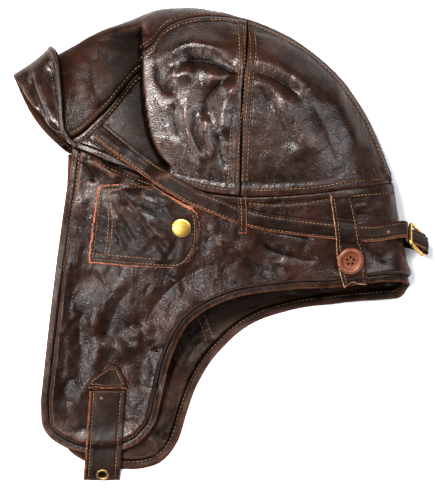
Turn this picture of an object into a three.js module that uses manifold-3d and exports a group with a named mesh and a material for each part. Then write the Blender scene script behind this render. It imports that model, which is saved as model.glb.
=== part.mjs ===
// A leather flying helmet that lies on its right side, flattened by its own weight.
// Millimetres: X runs from brow to nape, Y from the ear flaps to the top of the crown, Z is up.
// The left side faces up. The left and right walls meet along the ridge, which is the outline of
// the crown seen from above. "left" names what lies on top, "right" what lies against the ground.
import * as THREE from "three";
import { mergeVertices } from "three/addons/utils/BufferGeometryUtils.js";
import Module from "manifold-3d";

// Driving dimensions
const WALL = 2.0; // leather and lining together
const STRAP_THICK = 1.9;
const GAP = 0.3; // between pieces that touch
const LIFT = 0.65; // between a wall and what is sewn on it
const ROUND_LEFT = 52; // how far in from the ridge the upper wall rounds off
const ROUND_RIGHT = 40; // and the lower wall
const FRONT_EDGE_BOW = 2; // how far the ear flap's front edge bows out
const RIM_BOW = { left: 2.5, right: 6 }; // and each wall's rim at the face
const CORONAL = 0.5; // station of the seam that crosses the crown
const CROWN_END = 0.984; // station where the crown closes at the nape
const FAR_RIM = { x: -4, y: -5, fade: 0.12 }; // how far the right wall's face rim shows past the left one's
const STRAP_WIDTH = 12.8;
const BUTTON_RADIUS = 10.7;
const SNAP_RADIUS = 7.5;
const EYELET_RADIUS = 5.2;
const EYELET_HOLE = 2.95;

const LEATHER = new THREE.MeshStandardMaterial({ color: 0x3b2a24, roughness: 0.42, metalness: 0 });
const TRIM = new THREE.MeshStandardMaterial({ color: 0x35261f, roughness: 0.5, metalness: 0 });
const BRASS = new THREE.MeshStandardMaterial({ color: 0xc9a23c, roughness: 0.3, metalness: 1 });
const WOOD = new THREE.MeshStandardMaterial({ color: 0xb5683a, roughness: 0.45, metalness: 0 });

// One row for each rib, from brow to nape: the seam under the crown and the ridge with its height.
const RIBS = [
  { s: 0.0, seamX: -111, seamY: 76, ridgeX: -158, ridgeY: 127.5, ridgeZ: 26 },
  { s: 0.07, seamX: -98.5, seamY: 70.5, ridgeX: -139, ridgeY: 137, ridgeZ: 29 },
  { s: 0.14, seamX: -84, seamY: 64, ridgeX: -119, ridgeY: 150, ridgeZ: 32 },
  { s: 0.21, seamX: -68, seamY: 58, ridgeX: -93, ridgeY: 164.3, ridgeZ: 35 },
  { s: 0.27, seamX: -54, seamY: 52, ridgeX: -65, ridgeY: 175.3, ridgeZ: 37 },
  { s: 0.3, seamX: -46, seamY: 50, ridgeX: -54, ridgeY: 179.6, ridgeZ: 38 },
  { s: 0.35, seamX: -31, seamY: 45, ridgeX: -40, ridgeY: 183, ridgeZ: 39 },
  { s: 0.42, seamX: -7, seamY: 40, ridgeX: -13, ridgeY: 183, ridgeZ: 41 },
  { s: 0.5, seamX: 18, seamY: 37, ridgeX: 20, ridgeY: 176, ridgeZ: 42 },
  { s: 0.57, seamX: 39, seamY: 37, ridgeX: 45, ridgeY: 166, ridgeZ: 42 },
  { s: 0.64, seamX: 60, seamY: 38, ridgeX: 69, ridgeY: 152, ridgeZ: 42 },
  { s: 0.72, seamX: 81, seamY: 40, ridgeX: 92, ridgeY: 132, ridgeZ: 42 },
  { s: 0.8, seamX: 100, seamY: 43, ridgeX: 110, ridgeY: 108, ridgeZ: 42 },
  { s: 0.88, seamX: 117, seamY: 45, ridgeX: 123, ridgeY: 83, ridgeZ: 41 },
  { s: 0.95, seamX: 129.5, seamY: 47, ridgeX: 132, ridgeY: 60, ridgeZ: 40 },
  { s: 0.98, seamX: 133.8, seamY: 47.4, ridgeX: 134.5, ridgeY: 52.6, ridgeZ: 39.4 },
  { s: 1.0, seamX: 135.7, seamY: 47.6, ridgeX: 135.7, ridgeY: 47.6, ridgeZ: 39 },
];

// For the same ribs: the hem of the side with its ear flap, how far the rib bows forward on its way
// to the hem, and how far the right side's hem lies from the left one's.
const HEMS = [
  { s: 0.0, hemX: -139.5, hemY: -124, bow: 0, rightX: 18, rightY: -16 },
  { s: 0.07, hemX: -136.5, hemY: -143.5, bow: 0, rightX: 18, rightY: -14 },
  { s: 0.14, hemX: -126, hemY: -155, bow: 0, rightX: 17, rightY: -12 },
  { s: 0.21, hemX: -107, hemY: -163, bow: 0, rightX: 15, rightY: -11 },
  { s: 0.27, hemX: -84, hemY: -164, bow: 0, rightX: 15, rightY: -12 },
  { s: 0.3, hemX: -73, hemY: -161, bow: 0, rightX: 16, rightY: -14 },
  { s: 0.35, hemX: -61, hemY: -155, bow: 9, rightX: 17, rightY: -15 },
  { s: 0.42, hemX: -49, hemY: -140, bow: 17, rightX: 17, rightY: -15 },
  { s: 0.5, hemX: -43, hemY: -116, bow: 26, rightX: 19, rightY: -14 },
  { s: 0.57, hemX: -36, hemY: -89, bow: 28, rightX: 20, rightY: -20 },
  { s: 0.64, hemX: -21, hemY: -61, bow: 24, rightX: 20, rightY: -25 },
  { s: 0.72, hemX: 11, hemY: -43, bow: 12, rightX: 14, rightY: -20 },
  { s: 0.8, hemX: 53, hemY: -36, bow: 0, rightX: 6, rightY: -15 },
  { s: 0.88, hemX: 92, hemY: -34, bow: 0, rightX: 2, rightY: -12 },
  { s: 0.95, hemX: 130, hemY: -29.5, bow: 0, rightX: 0, rightY: -13 },
  { s: 0.98, hemX: 143.5, hemY: -29.6, bow: 0, rightX: 0, rightY: -11 },
  { s: 1.0, hemX: 150, hemY: -31, bow: 0, rightX: 0, rightY: 0 },
];

// Where the middle band's two seams cross the ribs: 0 is the left seam, 1 the ridge, 2 the right seam.
const BAND_SEAMS = [
  { s: 0.0, bandLeft: 0.06, bandRight: 1.95 },
  { s: 0.07, bandLeft: 0.14, bandRight: 1.86 },
  { s: 0.14, bandLeft: 0.23, bandRight: 1.74 },
  { s: 0.21, bandLeft: 0.33, bandRight: 1.62 },
  { s: 0.27, bandLeft: 0.47, bandRight: 1.53 },
  { s: 0.3, bandLeft: 0.57, bandRight: 1.5 },
  { s: 0.35, bandLeft: 0.7, bandRight: 1.46 },
  { s: 0.42, bandLeft: 0.8, bandRight: 1.42 },
  { s: 0.5, bandLeft: 0.87, bandRight: 1.39 },
  { s: 0.57, bandLeft: 0.88, bandRight: 1.38 },
  { s: 0.64, bandLeft: 0.88, bandRight: 1.38 },
  { s: 0.72, bandLeft: 0.87, bandRight: 1.38 },
  { s: 0.8, bandLeft: 0.85, bandRight: 1.38 },
  { s: 0.88, bandLeft: 0.8, bandRight: 1.38 },
  { s: 0.95, bandLeft: 0.7, bandRight: 1.36 },
  { s: 0.98, bandLeft: 0.64, bandRight: 1.35 },
  { s: 1.0, bandLeft: 0.6, bandRight: 1.34 },
];
const NAPE_FOOT_Z = 30; // height of the ridge at the hem of the nape

// Height of the upper wall, one row for each level of Y and one column for each X below.
const HEIGHT_X = { brow: -150, temple: -90, front: -40, middle: 20, rear: 80, nape: 140 };
const HEIGHTS = [
  { y: -185, brow: 8, temple: 8, front: 9, middle: 12, rear: 16, nape: 18 },
  { y: -130, brow: 10, temple: 11, front: 13, middle: 18, rear: 24, nape: 28 },
  { y: -90, brow: 18, temple: 22, front: 24, middle: 30, rear: 36, nape: 38 },
  { y: -40, brow: 33, temple: 42, front: 47, middle: 50, rear: 52, nape: 48 },
  { y: 0, brow: 43, temple: 56, front: 64, middle: 66, rear: 65, nape: 56 },
  { y: 40, brow: 46, temple: 63, front: 74, middle: 77, rear: 74, nape: 62 },
  { y: 80, brow: 44, temple: 64, front: 80, middle: 82, rear: 79, nape: 66 },
  { y: 130, brow: 40, temple: 60, front: 80, middle: 83, rear: 80, nape: 68 },
  { y: 190, brow: 40, temple: 56, front: 72, middle: 79, rear: 76, nape: 66 },
];

// Creases of the upper wall: a path, how wide it is and how high (a valley is negative).
const FOLDS = [
  { name: "crown_ridge", path: [[-44, 134], [-33, 149], [-19, 154], [-2, 152], [18, 145]], width: 4.5, height: 4 },
  { name: "crown_valley", path: [[-22, 144], [-4, 143], [14, 134], [26, 139]], width: 5, height: -4.5 },
  { name: "rear_ridge", path: [[24, 146], [42, 142], [58, 133], [68, 124]], width: 4.5, height: 3 },
  { name: "rear_valley", path: [[24, 139], [40, 135], [56, 124], [66, 113]], width: 5, height: -4 },
  { name: "rear_dent", path: [[30, 126], [46, 98], [60, 76], [72, 60]], width: 8, height: -3.5 },
  { name: "rear_swell", path: [[92, 110], [100, 94], [110, 76]], width: 7, height: 2.5 },
  { name: "front_dent", path: [[14, 130], [-4, 118], [-11, 104], [-12, 84]], width: 7, height: -4 },
  { name: "front_pinch", path: [[-42, 120], [-32, 116], [-22, 122]], width: 5, height: -3.5 },
  { name: "front_swell", path: [[-24, 104], [-26, 84], [-18, 66]], width: 7, height: 2.5 },
  { name: "brow_dent", path: [[-92, 128], [-80, 120], [-66, 117]], width: 8, height: -3.5 },
  { name: "brow_swell", path: [[-104, 122], [-98, 104], [-86, 96]], width: 8, height: 2.5 },
  { name: "ear_swell", path: [[-98, 62], [-84, 56], [-66, 52]], width: 6, height: 3 },
  { name: "flap_edge_swell", path: [[4, -22], [-20, -40], [-38, -66], [-48, -96]], width: 9, height: 4 },
  { name: "flap_dent", path: [[-24, -30], [-50, -50], [-66, -78]], width: 9, height: -3 },
  { name: "flap_swell", path: [[-100, -60], [-98, -84], [-102, -104]], width: 8, height: 2.5 },
  { name: "flap_hollow", path: [[-120, -40], [-118, -90], [-122, -130]], width: 8, height: -2 },
  { name: "nape_dent", path: [[40, 8], [62, -2], [84, -6]], width: 9, height: -2.5 },
];

// The tuck: behind this line the crown's side hangs over the sunken brow.
const TUCK = {
  path: [[-59, 176], [-57.5, 159], [-57.5, 143], [-56.5, 120], [-54, 100], [-50, 82], [-43, 68], [-34, 57]],
  depth: 15,
  width: 6.5,
  reach: 48,
  lean: 4,
  fade: [0.04, 0.2, 0.7, 0.92],
};

// The ribs near the tuck bend with it towards the nape: how far their feet move along the seam.
const TUCK_BEND = { at: 0.285, by: 0.05, spread: 0.065, reach: 0.3 };

// What the lower wall lies on and is raised by: a path, the half width of what is there, how far
// the wall takes to come down again, and how high it stands.
const STRAP_SHADE = [[-92, 92], [-70, 76], [-40, 53], [0, 33], [20, 27], [60, 17], [92, 9], [150, 8]];
const PROPS = [
  { name: "head_strap", path: STRAP_SHADE, half: 9, reach: 18, height: 3.7 },
  { name: "strap_crossing", path: [[97, 24], [101, -2]], half: 13, reach: 30, height: 6.6 },
  { name: "strap_keeper", path: [[20, 40], [20, 6]], half: 7, reach: 16, height: 5.6 },
  { name: "goggle_tab", path: [[95, 40], [107, -34]], half: 13, reach: 18, height: 3.5 },
  { name: "goggle_button", path: [[103, -12], [103, -14]], half: 13, reach: 26, height: 7.9 },
  { name: "ear_cover", path: [[-64, 14], [-46, 14]], half: 42, reach: 18, height: 3.4 },
  { name: "cover_snap", path: [[-29, 12], [-28, 12]], half: 12, reach: 34, height: 7.1 },
  { name: "peak", path: [[-150, 124], [-130, 106], [-112, 84]], half: 24, reach: 30, height: 4.6 },
];

// Curves and fields

// A smooth curve through values given at rising stations.
function through(stations, values, at) {
  const last = stations.length - 1;
  const x = THREE.MathUtils.clamp(at, stations[0], stations[last]);
  let i = 0;
  while (i < last - 1 && x > stations[i + 1]) i += 1;
  const slope = (k) => {
    const a = Math.max(k - 1, 0);
    const b = Math.min(k + 1, last);
    return (values[b] - values[a]) / (stations[b] - stations[a]);
  };
  const span = stations[i + 1] - stations[i];
  const t = (x - stations[i]) / span;
  const a = values[i];
  const b = values[i + 1];
  const ma = slope(i) * span;
  const mb = slope(i + 1) * span;
  return a + t * (ma + t * (3 * (b - a) - 2 * ma - mb + t * (2 * (a - b) + ma + mb)));
}

// A column of the rib tables at a station.
const ribColumns = new Map();
function rib(column, s) {
  if (!ribColumns.has(column)) {
    const rows = [RIBS, HEMS, BAND_SEAMS].find((table) => column in table[0]);
    ribColumns.set(column, { stations: rows.map((row) => row.s), values: rows.map((row) => row[column]) });
  }
  const { stations, values } = ribColumns.get(column);
  return through(stations, values, s);
}

const ease = (t) => t * t * (3 - 2 * t);
const clamp01 = (t) => Math.min(Math.max(t, 0), 1);
const dome = (u) => Math.sqrt(Math.max(0, 1 - (1 - clamp01(u)) ** 2));

// The nearest place on a polyline: how far off, how far along (0 to 1) and on which side.
function nearest(path, x, y) {
  let best = { away: Infinity };
  for (let i = 0; i + 1 < path.length; i += 1) {
    const [ax, ay] = path[i];
    const [bx, by] = path[i + 1];
    const dx = bx - ax;
    const dy = by - ay;
    const t = clamp01(((x - ax) * dx + (y - ay) * dy) / (dx * dx + dy * dy));
    const ox = x - ax - t * dx;
    const oy = y - ay - t * dy;
    const away = Math.hypot(ox, oy);
    if (away < best.away) {
      const side = Math.sign(dx * oy - dy * ox) || 1;
      best = { away, along: (i + t) / (path.length - 1), side, index: i, t };
    }
  }
  return best;
}

// A smooth curve through flat points, and its polyline with the given number of steps.
function flatCurve(points) {
  const corners = points.map(([x, y]) => new THREE.Vector3(x, y, 0));
  return new THREE.CatmullRomCurve3(corners, false, "centripetal");
}
const flatPath = (points, steps) => flatCurve(points).getPoints(steps).map((p) => [p.x, p.y]);

const RIDGE_STEPS = 96;
const RIDGE = [];
for (let i = 0; i <= RIDGE_STEPS; i += 1) {
  const s = i / RIDGE_STEPS;
  RIDGE.push([rib("ridgeX", s), rib("ridgeY", s), rib("ridgeZ", s)]);
}
const NAPE_STEPS = 6;
const napeTop = new THREE.Vector3(...RIDGE[RIDGE_STEPS]);
const napeFoot = new THREE.Vector3(rib("hemX", 1), rib("hemY", 1), NAPE_FOOT_Z);
for (let i = 1; i <= NAPE_STEPS; i += 1) RIDGE.push(napeTop.clone().lerp(napeFoot, i / NAPE_STEPS).toArray());

// The ridge over a station, exactly on the line that distances are taken from.
function ridgeAt(s) {
  const at = clamp01(s) * RIDGE_STEPS;
  const i = Math.min(Math.floor(at), RIDGE_STEPS - 1);
  const along = (axis) => THREE.MathUtils.lerp(RIDGE[i][axis], RIDGE[i + 1][axis], at - i);
  return { x: along(0), y: along(1) };
}

function toRidge(x, y) {
  const { away, index, t } = nearest(RIDGE, x, y);
  return { away, z: THREE.MathUtils.lerp(RIDGE[index][2], RIDGE[index + 1][2], t) };
}

const HEIGHT_STATIONS = Object.values(HEIGHT_X);
const HEIGHT_COLUMNS = Object.keys(HEIGHT_X);
function plateau(x, y) {
  const rows = HEIGHTS.map((row) => through(HEIGHT_STATIONS, HEIGHT_COLUMNS.map((c) => row[c]), x));
  return through(HEIGHTS.map((row) => row.y), rows, y);
}

const foldPaths = FOLDS.map((fold) => ({ ...fold, line: flatPath(fold.path, 14) }));
function folds(x, y) {
  let sum = 0;
  for (const { line, width, height } of foldPaths) {
    const { away, along } = nearest(line, x, y);
    if (away < 3 * width) {
      const ends = ease(clamp01(along / 0.25)) * ease(clamp01((1 - along) / 0.25));
      sum += height * ends * Math.exp(-((away / width) ** 2));
    }
  }
  return sum;
}

const tuckLine = flatPath(TUCK.path, 24);
function tuck(x, y) {
  const { away, along, side } = nearest(tuckLine, x, y);
  const d = away * side;
  const [a, b, c, e] = TUCK.fade;
  const strength = ease(clamp01((along - a) / (b - a))) * ease(clamp01((e - along) / (e - c)));
  const over = ease(clamp01((d / TUCK.width + 1) / 2));
  const drop = -TUCK.depth * strength * (1 - over) * Math.exp(-((Math.max(0, -d) / TUCK.reach) ** 2));
  const u = d / TUCK.width;
  const lean = -TUCK.lean * strength * u * Math.exp(1 - u * u) * 0.6;
  return { drop, lean };
}

// Height of the upper wall's outer face, and of the lower wall's.
function leftHeight(x, y) {
  const { away, z } = toRidge(x, y);
  return z + (plateau(x, y) + folds(x, y) + tuck(x, y).drop - z) * dome(away / ROUND_LEFT);
}

const propPaths = PROPS.map((prop) => ({ ...prop, line: flatPath(prop.path, 12) }));
function raised(x, y) {
  let top = 0;
  for (const { line, half, reach, height } of propPaths) {
    const { away } = nearest(line, x, y);
    top = Math.max(top, height * ease(clamp01((half + reach - away) / reach)));
  }
  return top;
}
function rightHeight(x, y) {
  const { away, z } = toRidge(x, y);
  return z - (z - raised(x, y)) * dome(away / ROUND_RIGHT);
}

// Points of the walls

// The way that the rim at the face bows, square to its chord.
const BROW = RIBS[0];
const RIM_OUT = new THREE.Vector2(BROW.ridgeY - BROW.seamY, BROW.seamX - BROW.ridgeX).normalize();

// The crown, by rib station and by place across: 0 left seam, 1 ridge, 2 right seam.
function crownPoint(s, across) {
  const left = across <= 1;
  const q = Math.sin((clamp01(left ? across : 2 - across) * Math.PI) / 2);
  const rim = left ? 0 : 1 - clamp01(s / FAR_RIM.fade);
  const bend = left ? TUCK_BEND.by * Math.exp(-(((s - TUCK_BEND.at) / TUCK_BEND.spread) ** 2)) : 0;
  const foot = s + bend * Math.max(0, 1 - q / TUCK_BEND.reach) ** 2;
  const top = ridgeAt(s);
  const near = (1 - clamp01(s / FAR_RIM.fade)) ** 2;
  const bow = (left ? RIM_BOW.left : RIM_BOW.right) * Math.sin(Math.PI * q) * near;
  const x = THREE.MathUtils.lerp(rib("seamX", foot) + FAR_RIM.x * rim, top.x, q) - bow * RIM_OUT.x;
  const y = THREE.MathUtils.lerp(rib("seamY", foot) + FAR_RIM.y * rim, top.y, q) - bow * RIM_OUT.y;
  if (!left) return new THREE.Vector3(x, y, rightHeight(x, y));
  return new THREE.Vector3(x + tuck(x, y).lean, y, leftHeight(x, y));
}

// A side with its ear flap, by rib station and by place down it: 0 seam, 1 hem.
function sidePoint(side, s, down) {
  const right = side === "right";
  const hemX = rib("hemX", s) + (right ? rib("rightX", s) : 0);
  const hemY = rib("hemY", s) + (right ? rib("rightY", s) : 0);
  const rim = right ? 1 - clamp01(s / FAR_RIM.fade) : 0;
  const edgeBow = FRONT_EDGE_BOW * (1 - clamp01(s / 0.3)) ** 2;
  const bow = (edgeBow + rib("bow", s)) * Math.sin(Math.PI * clamp01(down));
  const x = THREE.MathUtils.lerp(rib("seamX", s) + FAR_RIM.x * rim, hemX, down) - bow;
  const y = THREE.MathUtils.lerp(rib("seamY", s) + FAR_RIM.y * rim, hemY, down);
  const apart = GAP * ease(clamp01((s - 0.93) / 0.07));
  const z = right ? rightHeight(x, y) - apart : leftHeight(x, y) + apart;
  return new THREE.Vector3(x, y, z);
}

// Solids

// A strip with the given rows of outer points, all of one length.
function stripThrough(rows, thickness, flip) {
  const outer = rows.flat();
  const inner = [];
  rows.forEach((row, j) =>
    row.forEach((p, i) => {
      const along = rows[Math.min(j + 1, rows.length - 1)][i].clone().sub(rows[Math.max(j - 1, 0)][i]);
      const across = row[Math.min(i + 1, row.length - 1)].clone().sub(row[Math.max(i - 1, 0)]);
      const n = along.cross(across).normalize();
      inner.push(p.clone().addScaledVector(n, flip ? thickness : -thickness));
    })
  );
  return closed(outer, inner, rows[0].length, rows.length, !flip);
}

// A wall with the given outer face: at(u, v) is a point of it, and flip turns its outer side round.
function sheet(at, us, vs, thickness, flip = false) {
  const step = 1e-3;
  const outer = [];
  const inner = [];
  for (const v of vs)
    for (const u of us) {
      const p = at(u, v);
      const du = at(u + step, v).sub(at(u - step, v));
      const dv = at(u, v + step).sub(at(u, v - step));
      const n = du.cross(dv).normalize().multiplyScalar(flip ? -1 : 1);
      outer.push(p);
      inner.push(p.clone().addScaledVector(n, -thickness));
    }
  return closed(outer, inner, us.length, vs.length, flip);
}

// Two grids of points, an outer and an inner one, joined round their edges into a closed solid.
function closed(outer, inner, columns, rows, flip) {
  const points = [...outer, ...inner];
  const triangles = [];
  const half = outer.length;
  const quad = (a, b, c, d) => triangles.push(...(flip ? [a, c, b, a, d, c] : [a, b, c, a, c, d]));
  const id = (i, j) => j * columns + i;
  for (let j = 0; j + 1 < rows; j += 1)
    for (let i = 0; i + 1 < columns; i += 1) {
      const [a, b, c, d] = [id(i, j), id(i + 1, j), id(i + 1, j + 1), id(i, j + 1)];
      quad(a, b, c, d);
      quad(half + a, half + d, half + c, half + b);
    }
  const edge = (a, b) => quad(b, a, half + a, half + b);
  for (let i = 0; i + 1 < columns; i += 1) {
    edge(id(i, 0), id(i + 1, 0));
    edge(id(i + 1, rows - 1), id(i, rows - 1));
  }
  for (let j = 0; j + 1 < rows; j += 1) {
    edge(id(0, j + 1), id(0, j));
    edge(id(columns - 1, j), id(columns - 1, j + 1));
  }
  const geometry = new THREE.BufferGeometry().setFromPoints(points);
  geometry.setIndex(triangles);
  return geometry;
}

const wasm = await Module();
wasm.setup();

function toSolid(geometry) {
  const bare = geometry.clone();
  bare.deleteAttribute("normal");
  bare.deleteAttribute("uv");
  const merged = mergeVertices(bare, 1e-4);
  const mesh = new wasm.Mesh({
    numProp: 3,
    vertProperties: new Float32Array(merged.attributes.position.array),
    triVerts: new Uint32Array(merged.index.array),
  });
  return new wasm.Manifold(mesh);
}

function toGeometry(solid) {
  const mesh = solid.getMesh();
  const geometry = new THREE.BufferGeometry();
  geometry.setAttribute("position", new THREE.BufferAttribute(new Float32Array(mesh.vertProperties), 3));
  geometry.setIndex(new THREE.BufferAttribute(new Uint32Array(mesh.triVerts), 1));
  return geometry;
}

function cut(geometry, ...tools) {
  let solid = toSolid(geometry);
  for (const tool of tools) solid = solid.subtract(toSolid(tool));
  return toGeometry(solid);
}

const helmet = new THREE.Group();
function add(name, geometry, material, place) {
  const made = new THREE.Mesh(geometry, material);
  made.name = name;
  if (place) made.applyMatrix4(place);
  helmet.add(made);
}

// Evenly spaced values, unless a shape is given that sets their spacing.
function span(from, to, steps, shape = (t) => t) {
  return Array.from({ length: steps + 1 }, (_, i) => from + (to - from) * shape(i / steps));
}

// The crown: a middle band from brow to nape, and a front and a rear panel on each side.
// The stations lie closer together at the tuck and near the nape.
const TUCK_STATIONS = [0.235, 0.256, 0.269, 0.278, 0.286, 0.294, 0.303, 0.318, 0.345];
const FRONT_STATIONS = [...span(0, 0.21, 6), ...TUCK_STATIONS, ...span(0.38, CORONAL, 3)];
const REAR_STATIONS = [...span(CORONAL, 0.9, 10), 0.93, 0.96, CROWN_END];

// The share of the way across that half a gap takes up there, and a little more for its slant.
const HALF_GAP = 0.62 * GAP;
function gapShare(s, across) {
  const step = 0.01;
  const a = THREE.MathUtils.clamp(across, step, 2 - step);
  const reach = crownPoint(s, a + step).distanceTo(crownPoint(s, a - step)) / (2 * step);
  return HALF_GAP / reach;
}
const SEAM_LEFT = (s) => gapShare(s, 0);
const SEAM_RIGHT = (s) => 2 - gapShare(s, 2);
const inTuck = (s) => s > 0.24 && s < 0.33; // where the wall is steep, and the gap is doubled
const BAND_LEFT = (way) => (s) => {
  const across = rib("bandLeft", s);
  return across + way * gapShare(s, across) * (inTuck(s) ? 2 : 1);
};
const BAND_RIGHT = (way) => (s) => rib("bandRight", s) + way * gapShare(s, rib("bandRight", s));

// The walls' triangles are kept, so that what is sewn on clears them.
const wallTriangles = [];
function addWall(name, geometry) {
  const corner = geometry.attributes.position;
  const index = geometry.index.array;
  const points = (k) => [0, 1, 2].map((i) => new THREE.Vector3().fromBufferAttribute(corner, index[k + i]));
  for (let k = 0; k < index.length; k += 3) wallTriangles.push(points(k));
  add(name, geometry, LEATHER);
}

function crownPanel(name, stations, from, to, steps) {
  const at = (s, t) => crownPoint(s, THREE.MathUtils.lerp(from(s), to(s), t));
  const trim = 7e-4;
  const ends = [stations[0] + trim, stations[stations.length - 1] - trim];
  const us = stations.map((s) => THREE.MathUtils.clamp(s, ...ends));
  addWall(name, sheet(at, us, span(0, 1, steps), WALL));
}
crownPanel("crown_band", [...FRONT_STATIONS, ...REAR_STATIONS.slice(1)], BAND_LEFT(1), BAND_RIGHT(-1), 8);
crownPanel("crown_front_left", FRONT_STATIONS, SEAM_LEFT, BAND_LEFT(-1), 13);
crownPanel("crown_rear_left", REAR_STATIONS, SEAM_LEFT, BAND_LEFT(-1), 8);
crownPanel("crown_front_right", FRONT_STATIONS, BAND_RIGHT(1), SEAM_RIGHT, 6);
crownPanel("crown_rear_right", REAR_STATIONS, BAND_RIGHT(1), SEAM_RIGHT, 6);

// The two sides, each with its ear flap, which meet at the nape.
const NAPE_STATIONS = [0.93, 0.955, 0.975, 0.99, 1];
const SIDE_STATIONS = [...span(0, 0.21, 6), 0.24, 0.27, 0.3, 0.345, ...span(0.38, 0.9, 13), ...NAPE_STATIONS];
const SIDE_TOP = 0.0035;
const sideRows = (steps) => span(SIDE_TOP, 1, steps, (t) => t * (1.25 - 0.25 * t));
addWall("side_left", sheet((s, v) => sidePoint("left", s, v), SIDE_STATIONS, sideRows(14), WALL, true));
addWall("side_right", sheet((s, v) => sidePoint("right", s, v), SIDE_STATIONS, sideRows(10), WALL));

// The highest (left) or lowest (right) that the built walls reach at a place.
function wallFace(side, x, y) {
  const left = side === "left";
  let z = left ? leftHeight(x, y) : rightHeight(x, y);
  for (const [a, b, c] of wallTriangles) {
    if (x < Math.min(a.x, b.x, c.x) || x > Math.max(a.x, b.x, c.x)) continue;
    if (y < Math.min(a.y, b.y, c.y) || y > Math.max(a.y, b.y, c.y)) continue;
    const area = (b.x - a.x) * (c.y - a.y) - (c.x - a.x) * (b.y - a.y);
    if (Math.abs(area) < 1e-6) continue;
    const u = ((x - a.x) * (c.y - a.y) - (c.x - a.x) * (y - a.y)) / area;
    const v = ((b.x - a.x) * (y - a.y) - (x - a.x) * (b.y - a.y)) / area;
    if (u < 0 || v < 0 || u + v > 1) continue;
    const here = a.z + u * (b.z - a.z) + v * (c.z - a.z);
    z = left ? Math.max(z, here) : Math.min(z, here);
  }
  return z;
}

// What is sewn on. A point of the outer face of a wall, moved out by "lift".
const SIDES = ["left", "right"];
function skin(side, x, y, lift) {
  const height = side === "left" ? leftHeight : rightHeight;
  const d = 0.4;
  const gx = (height(x + d, y) - height(x - d, y)) / (2 * d);
  const gy = (height(x, y + d) - height(x, y - d)) / (2 * d);
  const out = new THREE.Vector3(-gx, -gy, 1).normalize().multiplyScalar(side === "left" ? lift : -lift);
  return out.add(new THREE.Vector3(x, y, wallFace(side, x, y)));
}

// The place and the tilt of something flat that is set on the skin.
function setOn(side, x, y, lift) {
  const a = skin(side, x, y, lift);
  const out = skin(side, x, y, lift + 1).sub(a).normalize();
  const turn = new THREE.Quaternion().setFromUnitVectors(new THREE.Vector3(0, 0, 1), out);
  return new THREE.Matrix4().compose(a, turn, new THREE.Vector3(1, 1, 1));
}

// A band that follows a path on the skin, with its lift given for each place.
function bandOn(side, path, width, thickness, liftAt, steps, across) {
  const at = bandFace(side, path, width, thickness, liftAt, steps);
  return sheet(at, span(0, steps, steps), span(-width / 2, width / 2, across), thickness, side === "right");
}

function bandFace(side, path, width, thickness, liftAt, steps) {
  const line = flatPath(path, steps);
  return (u, v) => {
    const i = THREE.MathUtils.clamp(Math.floor(u), 0, line.length - 2);
    const [ax, ay] = line[i];
    const [bx, by] = line[i + 1];
    const t = u - i;
    const before = line[Math.max(i - 1, 0)];
    const after = line[Math.min(i + 2, line.length - 1)];
    const mix = THREE.MathUtils.lerp;
    const tx = mix(bx - before[0], after[0] - ax, t);
    const ty = mix(by - before[1], after[1] - ay, t);
    const long = Math.hypot(tx, ty);
    const x = mix(ax, bx, t) - (ty / long) * v;
    const y = mix(ay, by, t) + (tx / long) * v;
    return skin(side, x, y, liftAt(x, y) + thickness);
  };
}

const HEAD_STRAP = [
  [-92.3, 89], [-72.9, 72.8], [-53, 57.8], [-33.2, 44.9], [-15.2, 34.9], [-0.8, 29.4], [15.1, 22.8],
  [34.7, 17.6], [56.6, 14.4], [90.1, 10.4], [112.7, 8.6], [130, 8.2], [137, 8.2],
];
const strapLine = flatPath(HEAD_STRAP, 40);
// The strap stands a little higher where it crosses the end of the tuck.
const TUCK_END = { x: -49, reach: 10, height: 1.1 };
const strapLift = (x) => LIFT + TUCK_END.height * Math.exp(-(((x - TUCK_END.x) / TUCK_END.reach) ** 2));
// What crosses the strap rises over it, and comes down again within a few millimetres beside it.
const STRAP_STEP = { height: STRAP_THICK + GAP + 0.5, start: STRAP_WIDTH / 2 + 6, reach: 5 };
const overStrap = (x, y) => {
  const near = ease(clamp01((STRAP_STEP.start - nearest(strapLine, x, y).away) / STRAP_STEP.reach));
  return LIFT + STRAP_STEP.height * near;
};

// A patch with four smooth edges: bottom and top run from left to right, left and right run up.
function patchOn(side, edges, thickness, liftAt, columns, rows) {
  const [first, last, start, end] = [edges.bottom, edges.top, edges.left, edges.right].map((edge) => {
    const curve = flatCurve(edge);
    return (t) => curve.getPointAt(clamp01(t));
  });
  const corner = [first(0), first(1), last(0), last(1)];
  const at = (u, v) => {
    const p = first(u).multiplyScalar(1 - v).addScaledVector(last(u), v);
    p.addScaledVector(start(v), 1 - u).addScaledVector(end(v), u);
    const share = [(1 - u) * (1 - v), u * (1 - v), (1 - u) * v, u * v];
    corner.forEach((c, i) => p.addScaledVector(c, -share[i]));
    return skin(side, p.x, p.y, liftAt(p.x, p.y) + thickness);
  };
  const inset = 2e-3;
  const us = span(inset, 1 - inset, columns);
  const vs = span(inset, 1 - inset, rows);
  return sheet(at, us, vs, thickness, side === "right");
}

const EAR_COVER = {
  bottom: [[-100.6, -14.8], [-66, -17.5], [-33.2, -18.7]],
  top: [[-92.8, 45.2], [-80, 46.5], [-62, 46.8], [-49, 44.5]],
  left: [[-100.6, -14.8], [-97, 16], [-92.8, 45.2]],
  right: [
    [-33.2, -18.7], [-21.5, -12.5], [-14.4, -0.8], [-13.2, 13], [-16.5, 25], [-30, 33.5], [-49, 44.5],
  ],
};
const COVER_THICK = 2.0;
const SNAP = { x: -27.9, y: 12.7 };

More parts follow.
